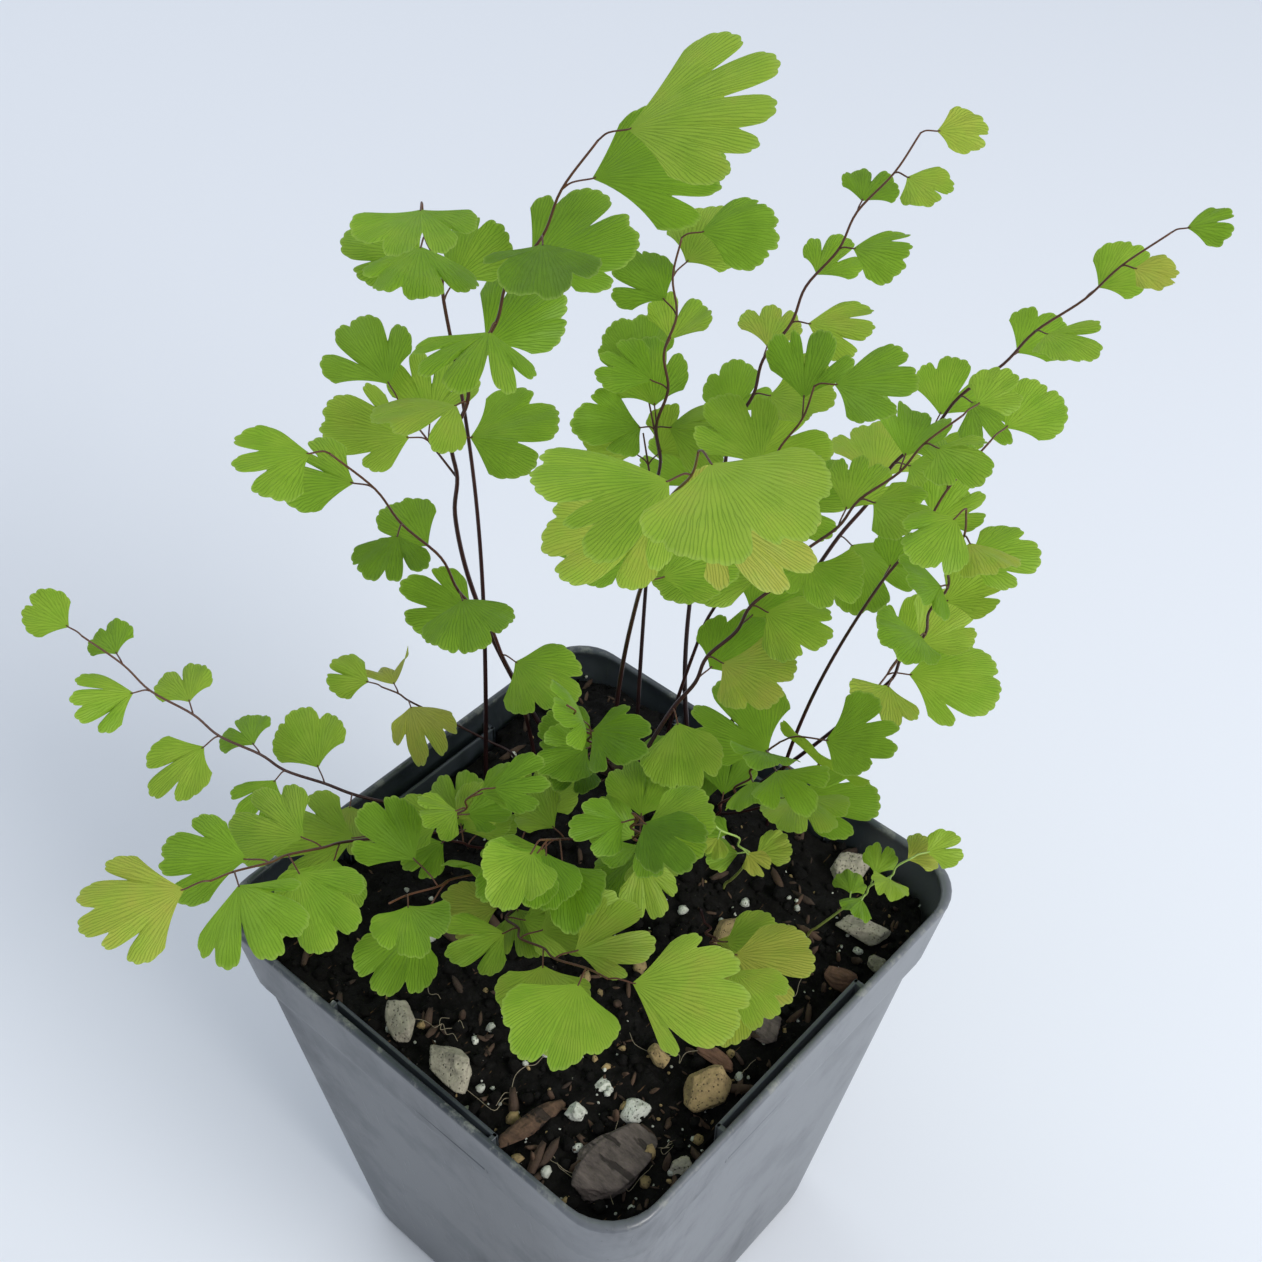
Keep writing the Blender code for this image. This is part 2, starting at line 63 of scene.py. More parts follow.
CORNERS = ((1, 1), (-1, 1), (-1, -1), (1, -1))
SOIL_DROP = 10.0
MOUND_HEIGHT, MOUND_SPREAD = 9, 800
CROWN_HALF_SIZE, CROWN_TURN = np.array([11, 5.5, 2.6]), math.radians(35)
PLANT_TURN = math.radians(45)
TOWARDS_LIGHT = np.array([-0.05, -0.45, 0.9]) / np.linalg.norm([-0.05, -0.45, 0.9])

FAN = 0.93
FOOT_LIFT = 1.5
RACHIS_TIP, STALK_RADIUS = 0.17, 0.13
TONE_SPREAD = 0.17
WITHERED_CURL = 2.2

# The camera's place, its heading, how far it looks down and its roll in degrees, and its lens.
CAMERA_PLACE, CAMERA_TURNS, LENS = (0.130, -0.147, 0.360), (130, 43.5, 2), 49

# How the fronds grow: the crown they clear, the lowest that a leaf hangs, the rachis's turns, a twig's length
# as a part of its frond's, the cells that keep fronds apart, the ways that a leaf may turn, tilt and reach and
# a stem may sway to be clear, the stalks, the angles between leaves in degrees, and how much widths vary.
CROWN_SPOT, CROWN_REACH, CROWN_TOP = (9, 30), (14, 9), 5.0
LOWEST_LEAF = 2.5
ZIGZAG = 0.7
TWIG_SHARE = 0.11
SAMPLE_GAP = 1.0
ROOM_CORNER, ROOM_SIZE = np.array([-115, -95, -20]), (240, 230, 190)
CLEARANCE, OWN_CLEARANCE = 2, 1
OWN_BLADES = 1 << 30
TURNS, TILTS, REACHES = (0, 25, -25, 50, -50, 80, -80, 120, -120), (0, 20, -20, 40), (1, 1.8, 2.8)
SWAYS = (0, 3, -3, 6, -6, 9, -9)
STIPE_POINTS = 5
STALK, STALK_BY_WIDTH = 1.2, 0.16
LOWEST_RISE, HIGHEST_RISE = -40, 60
SPREAD, CLOSING, STRAY = 80, 40, 10
CLIMB_SHARE = 0.3
WIDTH_RANGE = (0.85, 1.15)
TWIG_FAN, TWIG_LIFT = 60, 15
SEED = 23

# The fronds, in the plant's own frame. Each is grown from where it is rooted, where its tip is, how it
# arches, how far its middle bows along x and y, the bare share of its stem, how many leaves or twigs it bears,
# and its first and last leaf's width. Where twigs is given, that many of the lowest are twigs. Where hand is
# 1, the first leaf is on the other side.
FRONDS = {
    "frond_tall_left": dict(
        root=(-5, 35), tip=(0, 20, 140), arch=0.4, bow=(-20, 5), bare=0.45, leaves=10,
        widths=(14, 21), twigs=2),
    "frond_upper_left": dict(
        root=(-20, 35), tip=(-25, 30, 125), arch=0, bow=(0, 5), bare=0.85, leaves=4, widths=(12, 18)),
    "frond_spotted_arc": dict(
        root=(-10, 30), tip=(-40, 10, 95), arch=0.8, bow=(0, 0), bare=0.4, leaves=7, widths=(14, 13)),
    "frond_far_left": dict(
        root=(-15, 25), tip=(-90, 30, 40), arch=-0.8, bow=(0, -5), bare=0.4, leaves=9, widths=(13, 10)),
    "frond_low_left": dict(
        root=(-10, 20), tip=(-60, -30, 45), arch=-0.2, bow=(-5, 5), bare=0.4, leaves=8,
        widths=(16, 17), twigs=1),
    "frond_centre_thin": dict(
        root=(10, 35), tip=(15, 45, 110), arch=0.2, bow=(0, 5), bare=0.5, leaves=8, widths=(13, 12), twigs=2),
    "frond_tall_right": dict(
        root=(20, 35), tip=(55, 60, 120), arch=0.6, bow=(-5, 10), bare=0.4, leaves=11, widths=(17, 9)),
    "frond_far_right": dict(
        root=(25, 30), tip=(95, 45, 110), arch=0.2, bow=(0, 15), bare=0.4, leaves=10, widths=(18, 7), hand=1),
    "frond_front_main": dict(
        root=(0, 5), tip=(55, 10, 100), arch=0.5, bow=(0, 5), bare=0.4, leaves=12, widths=(16, 10), hand=1),
    "frond_right": dict(
        root=(30, 25), tip=(55, 0, 90), arch=0, bow=(10, 0), bare=0.4, leaves=9, widths=(15, 10), twigs=1),
    "frond_right_thin": dict(
        root=(35, 20), tip=(60, 10, 95), arch=0, bow=(0, 5), bare=0.7, leaves=4, widths=(10, 13)),
    "frond_over_rim": dict(
        root=(25, 20), tip=(40, 5, 30), arch=0, bow=(5, 0), bare=0.5, leaves=5, widths=(15, 18)),
    "young_frond_right": dict(
        root=(40, -5), tip=(55, -10, 20), arch=0, bow=(0, 0), bare=0.4, leaves=6, widths=(6, 8)),
    "pale_sprig": dict(root=(25, 5), tip=(20, -5, 25), arch=0, bow=(5, 0), bare=0.4, leaves=6, widths=(6, 5)),
    "frond_near_centre": dict(
        root=(5, 30), tip=(10, -30, 125), arch=0.5, bow=(0, 0), bare=0.55, leaves=7, widths=(12, 22)),
    "frond_back_right": dict(
        root=(15, 30), tip=(35, 25, 95), arch=0.3, bow=(0, 0), bare=0.4, leaves=9, widths=(12, 15), hand=1),
    "low_frond_left": dict(
        root=(-15, 15), tip=(-20, -5, 35), arch=0, bow=(-5, 0), bare=0.3, leaves=10, widths=(10, 9)),
    "low_frond_front": dict(
        root=(-10, 10), tip=(0, -40, 30), arch=-0.1, bow=(-10, 0), bare=0.25, leaves=9, widths=(10, 18)),
    "low_frond_centre": dict(
        root=(10, 15), tip=(5, -15, 40), arch=0, bow=(0, -5), bare=0.25, leaves=11, widths=(11, 12)),
    "low_frond_right": dict(
        root=(20, 0), tip=(20, -30, 20), arch=-0.2, bow=(0, 0), bare=0.2, leaves=9, widths=(9, 14)),
    "frond_inner_left": dict(
        root=(5, 25), tip=(-5, 0, 50), arch=0, bow=(0, 0), bare=0.2, leaves=11, widths=(12, 13)),
    "frond_inner_right": dict(
        root=(20, 15), tip=(30, -5, 45), arch=0, bow=(0, 0), bare=0.2, leaves=10, widths=(11, 13), hand=1),
    "low_frond_near_left": dict(
        root=(-5, 10), tip=(-35, -20, 25), arch=0.1, bow=(0, 0), bare=0.25, leaves=10, widths=(11, 14)),
    "low_frond_middle": dict(
        root=(0, 15), tip=(-10, -20, 40), arch=0, bow=(0, 0), bare=0.3, leaves=9, widths=(10, 13), hand=1),
    "withered_frond": dict(
        root=(-15, 40), tip=(-40, 45, 10), arch=0, bow=(0, 0), bare=0.8, leaves=3, widths=(13, 10)),
}
# How yellow a frond is and how spotted with age, where that differs from the usual.
USUAL_TONE = (0.5, 0)
FROND_TONES = {
    "frond_spotted_arc": (0.5, 0.25), "frond_far_left": (0.6, 0), "frond_low_left": (0.62, 0),
    "frond_tall_right": (0.55, 0), "frond_far_right": (0.6, 0), "frond_front_main": (0.6, 0),
    "frond_right": (0.55, 0), "frond_right_thin": (0.55, 0), "young_frond_right": (0.72, 0),
    "pale_sprig": (0.74, 0), "frond_near_centre": (0.68, 0), "low_frond_left": (0.55, 0.1),
    "low_frond_front": (0.6, 0.05), "low_frond_centre": (0.45, 0.05), "low_frond_right": (0.85, 0.1),
    # frond_inner_left, frond_inner_right and low_frond_middle have low tones: a deeper, darker green that is
    # painted shade for where they sit under the other fronds.
    "frond_inner_left": (0.3, 0), "frond_inner_right": (0.4, 0), "low_frond_middle": (0.35, 0),
    "withered_frond": (0.95, 0.5),
}
YOUNG_STEMS = ("young_frond_right", "pale_sprig")

# Loose pieces on the soil, in the plant's frame: x, y, length, width, height, turn in degrees and colour.
TAN, GREY_BARK, BROWN_BARK = (0.36, 0.26, 0.12), (0.17, 0.135, 0.12), (0.15, 0.085, 0.05)
PALE, PERLITE, RED = (0.4, 0.37, 0.29), (0.6, 0.62, 0.55), (0.23, 0.12, 0.075)
LOOSE = {
    "tan_stone": (18, -37, 11, 8, 7, 50, TAN),
    "grey_bark_slab": (0, -50, 19, 10, 4, 40, GREY_BARK),
    "long_bark_chip": (-13, -42, 15, 4, 3, 30, BROWN_BARK),
    "pale_stone_left": (-35, -20, 9, 6, 5, 100, PALE),
    "pale_stone_front": (-26, -30, 11, 7, 5, 130, PALE),
    "round_pale_stone": (5, -40, 6, 5, 4, 10, PERLITE),
    "perlite_front": (0, -35, 4, 4, 3, 0, PERLITE),
    "perlite_low": (-5, -40, 4, 4, 4, 60, PERLITE),
    "tan_pebble": (10, -30, 5, 4, 4, 90, TAN),
    "reddish_chip": (20, -30, 8, 3, 3, 140, RED),
    "perlite_corner": (12, -51, 4, 4, 4, 20, PALE),
    "pale_stone_right": (50, 10, 8, 7, 5, 30, PALE),
    "long_pale_stone": (50, -5, 10, 6, 5, 150, PALE),
    "small_pale_stone": (35, -10, 6, 5, 4, 0, PALE),
    "red_brown_stone": (45, -15, 7, 5, 4, 150, RED),
    "rim_pale_stone": (52, -12, 4, 4, 3, 70, PALE),
    "pinkish_stone": (25, -5, 9, 7, 4, 10, TAN),
    "brown_stone": (30, -25, 8, 5, 4, 70, GREY_BARK),
}


# ---- arrays and meshes ----

def unit(vectors):
    """Each vector divided by its length."""
    return vectors / np.linalg.norm(vectors, axis=-1, keepdims=True)


def grid_quads(rows, columns, closed=False):
    """The corner numbers of a grid's faces, row by row. A closed grid joins its last column to its first."""
    across = np.arange(columns if closed else columns - 1)
    low, high = np.meshgrid(np.arange(rows - 1) * columns, across, indexing="ij")
    beside = (high + 1) % columns
    corners = [low + high, low + beside, low + columns + beside, low + columns + high]
    return np.stack(corners, -1).reshape(-1, 4)


def surface(points, quads, uv=None, look=0, tone=0.5, age=0.0):
    """A patch: points in millimetres, faces, and what its material reads."""
    points = np.asarray(points, float).reshape(-1, 3)
    uv = np.zeros((len(points), 2)) if uv is None else np.asarray(uv, float).reshape(-1, 2)
    full = np.ones(len(points))
    return {"points": points, "quads": quads, "uv": uv, "look": np.full(len(quads), look),
            "tone": full * tone, "age": full * age}


def joined(patches):
    """One patch from many, with each one's faces numbered after the last one's points."""
    starts = np.cumsum([0] + [len(patch["points"]) for patch in patches[:-1]])
    together = {key: np.concatenate([patch[key] for patch in patches]) for key in patches[0]}
    together["quads"] += np.repeat(starts, [len(patch["quads"]) for patch in patches])[:, None]
    return together


def about_z(angle):
    """The matrix that turns row vectors by an angle about Z."""
    cos, sin = math.cos(angle), math.sin(angle)
    return np.array([[cos, sin, 0], [-sin, cos, 0], [0, 0, 1]])


def to_row_frame(points):
    """From the plant's frame, whose heights start at the rim, to the pot's, where they start at the base."""
    return points @ about_z(PLANT_TURN) + [0, 0, POT_HEIGHT]


def placed(name, data):
    """A new object in the scene."""
    obj = bpy.data.objects.new(name, data)
    bpy.context.scene.collection.objects.link(obj)
    return obj


def piece(name, patches, looks, nodes=()):
    """A finished object in the row frame, riding on the pot, from patches in that frame in millimetres."""
    whole = joined(patches)
    mesh = bpy.data.meshes.new(name)
    mesh.vertices.add(len(whole["points"]))
    mesh.vertices.foreach_set("co", (whole["points"] * MM).ravel())
    corners = whole["quads"].ravel()
    mesh.loops.add(len(corners))
    mesh.loops.foreach_set("vertex_index", corners)
    mesh.polygons.add(len(whole["quads"]))
    mesh.polygons.foreach_set("loop_start", np.arange(0, len(corners), 4))
    mesh.polygons.foreach_set("material_index", whole["look"])
    mesh.update(calc_edges=True)
    mesh.polygons.foreach_set("use_smooth", np.full(len(whole["quads"]), True))
    mesh.uv_layers.new(name="fan").data.foreach_set("uv", whole["uv"][corners].ravel())
    for key in ("tone", "age"):
        mesh.attributes.new(key, "FLOAT", "POINT").data.foreach_set("value", whole[key])
    for look in looks:
        mesh.materials.append(look)
    welded = bmesh.new()
    welded.from_mesh(mesh)
    bmesh.ops.remove_doubles(welded, verts=welded.verts, dist=1e-7)
    welded.to_mesh(mesh)
    welded.free()
    obj = placed(name, mesh)
    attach(obj, "root")
    if nodes:
        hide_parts(*nodes)
    return obj


LATTICE = np.random.default_rng(3).uniform(-1, 1, (32, 32, 32))


def noise(points, size):
    """Smooth noise from -1 to 1: random values on a lattice of this size, eased between each cell's corners."""
    place = np.asarray(points, float) / size
    cell = np.floor(place).astype(int)
    ease = place - cell
    ease = ease * ease * (3 - 2 * ease)
    total = 0
    for corner in np.ndindex(2, 2, 2):
        x, y, z = ((cell + corner) % len(LATTICE)).transpose(-1, *range(cell.ndim - 1))
        share = np.where(corner, ease, 1 - ease).prod(axis=-1)
        total = total + share * LATTICE[x, y, z]
    return total


def rough(points, size, octaves):
    """Noise with finer and fainter noise added, each octave half the size and just over half the height."""
    return sum(noise(np.asarray(points) + 17.3 * k, size / 2**k) * 0.55**k for k in range(octaves))


# ---- soil ----

def soil_height(x, y):
    """The soil's even surface in the plant's frame: below the rim, with one round mound at the crown."""
    away = (x - CROWN_SPOT[0]) ** 2 + (y - CROWN_SPOT[1]) ** 2
    return -SOIL_DROP + MOUND_HEIGHT * np.exp(-away / MOUND_SPREAD)


def soil_top(x, y):
    """The even surface plus clods, crumbs and fine grit."""
    flat = np.stack([x, y, np.zeros_like(x)], -1)
    clods = 1.3 * noise(flat, 9) + 0.8 * np.abs(noise(flat + 5, 4.2))
    crumbs = 0.75 * rough(flat + 9, 1.9, 3) * (0.6 + 0.4 * noise(flat + 40, 12))
    return soil_height(x, y) + clods + crumbs


# ---- stems ----

def smooth_path(points, steps=6):
    """A Catmull-Rom curve through the points, with this many steps to each stretch."""
    points = np.asarray(points, float)
    padded = np.vstack([2 * points[0] - points[1], points, 2 * points[-1] - points[-2]])
    before, start, end, after = (padded[i:len(padded) - 3 + i, None] for i in range(4))
    t = np.linspace(0, 1, steps, endpoint=False)[None, :, None]
    curve = 0.5 * (2 * start + (end - before) * t + (2 * before - 5 * start + 4 * end - after) * t**2
                   + (3 * start - before - 3 * end + after) * t**3)
    return np.vstack([curve.reshape(-1, 3), points[-1:]])


def tube(path, radii, sides=8, look=0, tone=0.5):
    """A round bar: a circle carried along the path, square to it, with both ends drawn in to a point."""
    path = np.vstack([path[:1], path, path[-1:]])
    radii = np.concatenate([[0], np.broadcast_to(radii, len(path) - 2), [0]])
    along = unit(np.gradient(path[1:-1], axis=0))
    along = np.vstack([along[:1], along, along[-1:]])
    least = np.eye(3)[np.argmin(np.abs(along.mean(axis=0)))]
    across = unit(np.cross(along, least))
    up = np.cross(along, across)
    angle = np.linspace(0, 2 * math.pi, sides, endpoint=False)[None, :, None]
    ring = np.cos(angle) * across[:, None] + np.sin(angle) * up[:, None]
    points = path[:, None] + radii[:, None, None] * ring
    length = np.concatenate([[0], np.cumsum(np.linalg.norm(np.diff(path, axis=0), axis=1))])
    uv = np.stack(np.broadcast_arrays(angle[..., 0] / math.pi, length[:, None]), -1)
    made = surface(points, grid_quads(len(path), sides, closed=True), uv, look)
    made["tone"] = np.repeat(np.broadcast_to(tone, len(path)), sides).astype(float)
    return made


# ---- growth ----

def direction(azimuth, rise):
    """The unit vector at this azimuth and rise in degrees."""
    azimuth, rise = np.radians([azimuth, rise])
    return np.array([np.cos(azimuth) * np.cos(rise), np.sin(azimuth) * np.cos(rise), np.sin(rise)])


def leaflet_axes(azimuth, rise):
    """A blade's axis, its side and its normal, which turns towards the light as far as the axis lets it."""
    axis = direction(azimuth, rise)
    normal = TOWARDS_LIGHT - TOWARDS_LIGHT @ axis * axis
    normal = normal / np.linalg.norm(normal)
    return axis, np.cross(axis, normal), normal


def along_line(start, end):
    """Points a cell apart from one place to another."""
    steps = max(int(np.linalg.norm(end - start) / SAMPLE_GAP) + 1, 2)
    return start + np.linspace(0, 1, steps)[:, None] * (end - start)


def along_stem(stem):
    """Points a cell apart from a stem's foot to its tip."""
    return np.vstack([along_line(low, high) for low, high in zip(stem, stem[1:])])


def over_blade(base, width, azimuth, rise):
    """Points a cell apart over a fan-shaped blade."""
    axis, side, _ = leaflet_axes(azimuth, rise)
    across = np.arange(-width / 2, width / 2 + SAMPLE_GAP, SAMPLE_GAP)
    out = np.arange(-0.05 * width, 0.95 * width + SAMPLE_GAP, SAMPLE_GAP)
    across, out = (values.ravel() for values in np.meshgrid(across, out))
    inside = np.abs(across) <= 1.2 * out + 0.1 * width
    return base + across[inside, None] * side + out[inside, None] * axis


class Room:
    """The millimetre cells that each frond has filled, so that no frond meets another."""

    def __init__(self):
        self.cells = np.zeros(ROOM_SIZE, np.int32)

    def places(self, points):
        return tuple((np.round(points).astype(int) - ROOM_CORNER).T)

    def fill(self, points, bit, clearance):
        x, y, z = self.places(points)
        for dx, dy, dz in np.ndindex(*[2 * clearance + 1] * 3):
            self.cells[x + dx - clearance, y + dy - clearance, z + dz - clearance] |= bit

    def free(self, points, bit):
        return not (self.cells[self.places(points)] & ~bit).any()


def stem_of(root, tip, arch, bow, bare, leaves):
    """The stipe and rachis: a positive arch rises before it leans out, and a negative one leans out before it
    rises. The leafy part turns a little at each leaf."""
    x, y = root
    on_crown = all(abs(a - b) < reach for a, b, reach in zip(root, CROWN_SPOT, CROWN_REACH))
    foot = np.array([x, y, CROWN_TOP if on_crown else soil_height(x, y) + FOOT_LIFT])
    share = np.concatenate([np.linspace(0, bare, STIPE_POINTS + 1)[:-1], np.linspace(bare, 1, leaves)])
    out, up = share ** (1 + max(arch, 0)), share ** (1 + max(-arch, 0))
    stem = foot + np.column_stack([out, out, up]) * (np.array(tip) - foot)
    stem[:, :2] += np.sin(math.pi * share)[:, None] * bow
    stem[STIPE_POINTS + 1:-1, 0] += ZIGZAG * (-1) ** np.arange(leaves - 2)
    return stem


def leaf_on(room, bit, foot, azimuth, rise, width):
    """A leaf on its stalk, turned, tilted or held further out until it is clear of what has grown already."""
    for reach, tilt, turn in ((r, t, a) for r in REACHES for t in TILTS for a in TURNS):
        facing = azimuth + turn, float(np.clip(rise + tilt, LOWEST_RISE, HIGHEST_RISE))
        base = foot + (STALK + STALK_BY_WIDTH * width) * reach * direction(*facing)
        blade = over_blade(base, width, *facing)
        clear = np.vstack([blade, along_line(foot, base)])
        if clear[:, 2].min() > LOWEST_LEAF and room.free(clear, bit):
            room.fill(clear, bit, CLEARANCE)
            room.fill(blade, OWN_BLADES, OWN_CLEARANCE)
            return (foot, base, *facing, width)
    return None


def grow(frond, stem, room, bit, rng):
    """A frond's twigs and leaves: alternate along the rachis, spread wide at first and closing towards the
    tip, with three leaves on each twig."""
    room.cells &= ~OWN_BLADES
    count, twigs = frond["leaves"], frond.get("twigs", 0)
    branches, leaves = [], []
    for i, spot in enumerate(stem[-count:]):
        share = i / max(count - 1, 1)
        ahead = stem[-1] - stem[-2] if i == count - 1 else stem[len(stem) - count + i + 1] - spot
        heading = math.degrees(math.atan2(ahead[1], ahead[0]))
        climb = math.degrees(math.asin(ahead[2] / np.linalg.norm(ahead)))
        hand = 0 if i == count - 1 else (-1) ** (i + frond.get("hand", 0))
        azimuth = heading + hand * (SPREAD - CLOSING * share) + rng.normal(0, STRAY)
        rise = CLIMB_SHARE * climb + rng.normal(0, STRAY)
        first, last = frond["widths"]
        width = (first + (last - first) * share) * rng.uniform(*WIDTH_RANGE)
        if i < twigs:
            length = TWIG_SHARE * np.linalg.norm(stem[-1] - stem[0])
            end = spot + length * direction(azimuth, rise + TWIG_LIFT)
            path = along_line(spot, end)
            if not room.free(path, bit | OWN_BLADES):
                continue
            room.fill(path, bit, CLEARANCE)
            branches.append([spot, end])
            middle = (spot + end) / 2
            grown = [(middle, azimuth + TWIG_FAN), (middle, azimuth - TWIG_FAN), (end, azimuth)]
        else:
            grown = [(spot, azimuth)]
        leaves += [leaf_on(room, bit, foot, facing, rise, width) for foot, facing in grown]
    return branches, [leaf for leaf in leaves if leaf]


def grown_fronds():
    """Every frond's stems and leaves. All the stems take their room first, and then the leaves."""
    room = Room()
    rng = np.random.default_rng(SEED)
    bits = {name: 1 << i for i, name in enumerate(FRONDS)}
    stems = {}
    for name, frond in FRONDS.items():
        for sway in SWAYS:
            bow = np.array(frond["bow"]) + sway
            root, tip = frond["root"], frond["tip"]
            stems[name] = stem_of(root, tip, frond["arch"], bow, frond["bare"], frond["leaves"])
            if room.free(along_stem(stems[name]), bits[name]):
                break
        room.fill(along_stem(stems[name]), bits[name], CLEARANCE)
    fronds = {}
    for name, frond in FRONDS.items():
        branches, leaves = grow(frond, stems[name], room, bits[name], rng)
        fronds[name] = ([stems[name], *branches], leaves)
    return fronds


# ---- leaflets ----

def blade_margin(rng, t, width):
    """How far the margin lies from the base at each part t of the fan, from -1 to 1: a flattened arc, less a
    narrow cleft between lobes, each lobe's end rounded, plus small round teeth."""
    lobes = int(np.clip(round(width / 4.2 + rng.uniform(-0.8, 0.9)), 2, 6))
    gaps = (np.arange(1, lobes) / lobes * 2 - 1) + rng.uniform(-0.13, 0.13, lobes - 1)
    depths = rng.choice([0.06, 0.16, 0.3, 0.46], lobes - 1, p=[0.27, 0.27, 0.28, 0.18])
    arc = 1 - 0.24 * np.abs(t) ** 2.2 - 0.16 * np.abs(t) ** 10 + rng.uniform(-0.1, 0.1) * t
    away = np.abs(t[:, None] - gaps)
    cleft = (depths * np.exp(-(away / 0.045) ** 1.5)).sum(axis=1)
    rounding = (depths * 0.42 * np.exp(-(away / 0.14) ** 1.6)).sum(axis=1)
    teeth = 0.5 * np.abs(np.sin(t * width * 1.55 + rng.uniform(0, 3))) ** 0.6 / width
    return (arc - rounding) * (1 - np.minimum(cleft, 0.6)) + teeth + 0.02 * np.sin(4 * t + rng.uniform(0, 6))


def blade(rng, base, width, axes, tone, age, curl):
    """A fan: rays from the base out to the margin, cupped, drooping towards the tip, with its lobes bent each
    its own way and its edge ruffled."""
    axis, side, normal = axes
    columns, rows = int(30 + 5.2 * width), 11
    reach = math.radians(rng.uniform(58, 74))
    t = np.linspace(-1, 1, columns)
    share = np.linspace(0, 1, rows)[:, None] ** 0.8
    angle = t * reach * (0.84 + 0.16 * share) + rng.uniform(-0.1, 0.1) * share
    margin = blade_margin(rng, t, width)
    out = share * margin * FAN * width
    widest = np.ptp(out[-1] * np.sin(angle[-1]))
    x = out * np.sin(angle) * (width / widest)
    y = out * np.cos(angle)
    cup, droop, ruffle = rng.normal(-0.05, 0.4), rng.uniform(0.05, 0.3), rng.uniform(0.2, 0.7)
    phase = rng.uniform(0, 6, 3)
    height = cup * x**2 / width - droop * y**2 / width
    height = height + share**2 * ruffle * width / 16 * np.sin(5 * t + phase[0])
    height = height + share**3 * 0.3 * np.sin(13 * t + phase[1]) - share**6 * 0.3
    height = curl * height + share * 0.25 * np.sin(3 * t + phase[2] + 2 * share)
    points = base + x[..., None] * side + y[..., None] * axis + height[..., None] * normal
    uv = np.stack(np.broadcast_arrays(angle * width / 10 + 7, share), -1)
    return surface(points, grid_quads(rows, columns), uv, 0, tone, age)


def stalk(foot, base, axis, radius, look, tone):
    """A thin stalk: a curve from the stem that bows up a little and runs into the blade along its axis."""
    reach = np.linalg.norm(base - foot)
    bend = (foot + base) / 2 + np.array([0, 0, 0.12 * reach]) - 0.15 * reach * axis
    path = smooth_path([foot, bend, base, base + 0.6 * axis], 4)
    return tube(path, np.linspace(radius * 1.25, radius, len(path)), 6, look, tone)


def add_frond(name, stems, leaflets):
    """One frond: its stipe, rachis and branches, then a stalk and a blade for each leaflet."""
    rng = np.random.default_rng(sum(map(ord, name)))
    tone, age = FROND_TONES.get(name, USUAL_TONE)
    young = name in YOUNG_STEMS
    curl = WITHERED_CURL if name == "withered_frond" else 1.0
    first = np.array(stems[0], float)
    below = first[0] - unit(first[1] - first[0]) * np.array([2.0, 2.0, 8.0])
    path = smooth_path(np.vstack([below, first]))
    length = np.linalg.norm(np.diff(first, axis=0), axis=1).sum()
    thick = 0.2 + 0.0024 * length
    shade = np.linspace(0.75 if young else 0.0, 1.0 if young else 0.45, len(path) + 2)
    patches = [tube(path, np.linspace(thick, RACHIS_TIP, len(path)), 10, 1, shade)]
    for branch in stems[1:]:
        path = smooth_path(branch)
        shade = np.linspace(0.7 if young else 0.25, 1.0 if young else 0.5, len(path) + 2)
        patches.append(tube(path, np.linspace(0.23, 0.15, len(path)), 8, 1, shade))
    for foot, base, azimuth, rise, width in leaflets:
        axes = leaflet_axes(azimuth, rise)
        patches.append(stalk(foot, base, axes[0], STALK_RADIUS, 1, 0.95 if young else 0.4))
        own = float(np.clip(tone + rng.normal(0, TONE_SPREAD), 0, 1))
        spots = age * rng.choice([0.3, 1.0]) if age else 0.0
        patches.append(blade(rng, base, width, axes, own, spots, curl))
    for patch in patches:
        patch["points"] = to_row_frame(patch["points"])
    piece(f"{name}_leaf", patches, [LEAF, STEM], [name])


# ---- pot ----

def rounded_outline(width, depth, radius, corner_steps=8, side_steps=1):
    """A rectangle with round corners, anticlockwise from the +X side: a quarter circle at each corner, then
    the straight side, split into this many steps."""
    arcs, places = [], []
    for turn, corner in enumerate(CORNERS):
        angle = math.pi / 2 * turn + np.linspace(0, math.pi / 2, corner_steps + 1)
        centre = np.array(corner) * [width / 2 - radius, depth / 2 - radius]
        arcs.append(centre + radius * np.stack([np.cos(angle), np.sin(angle)], -1))
    for arc, after in zip(arcs, arcs[1:] + arcs[:1]):
        places += [arc, arc[-1] + np.linspace(0, 1, side_steps + 1)[1:-1, None] * (after[0] - arc[-1])]
    return np.vstack(places)


def side_at(z):
    """The outside width of the tapered wall, below the rim band."""
    return BASE_SIDE + (POT_SIDE - 2 * RIM_STEP - BASE_SIDE) * z / POT_HEIGHT


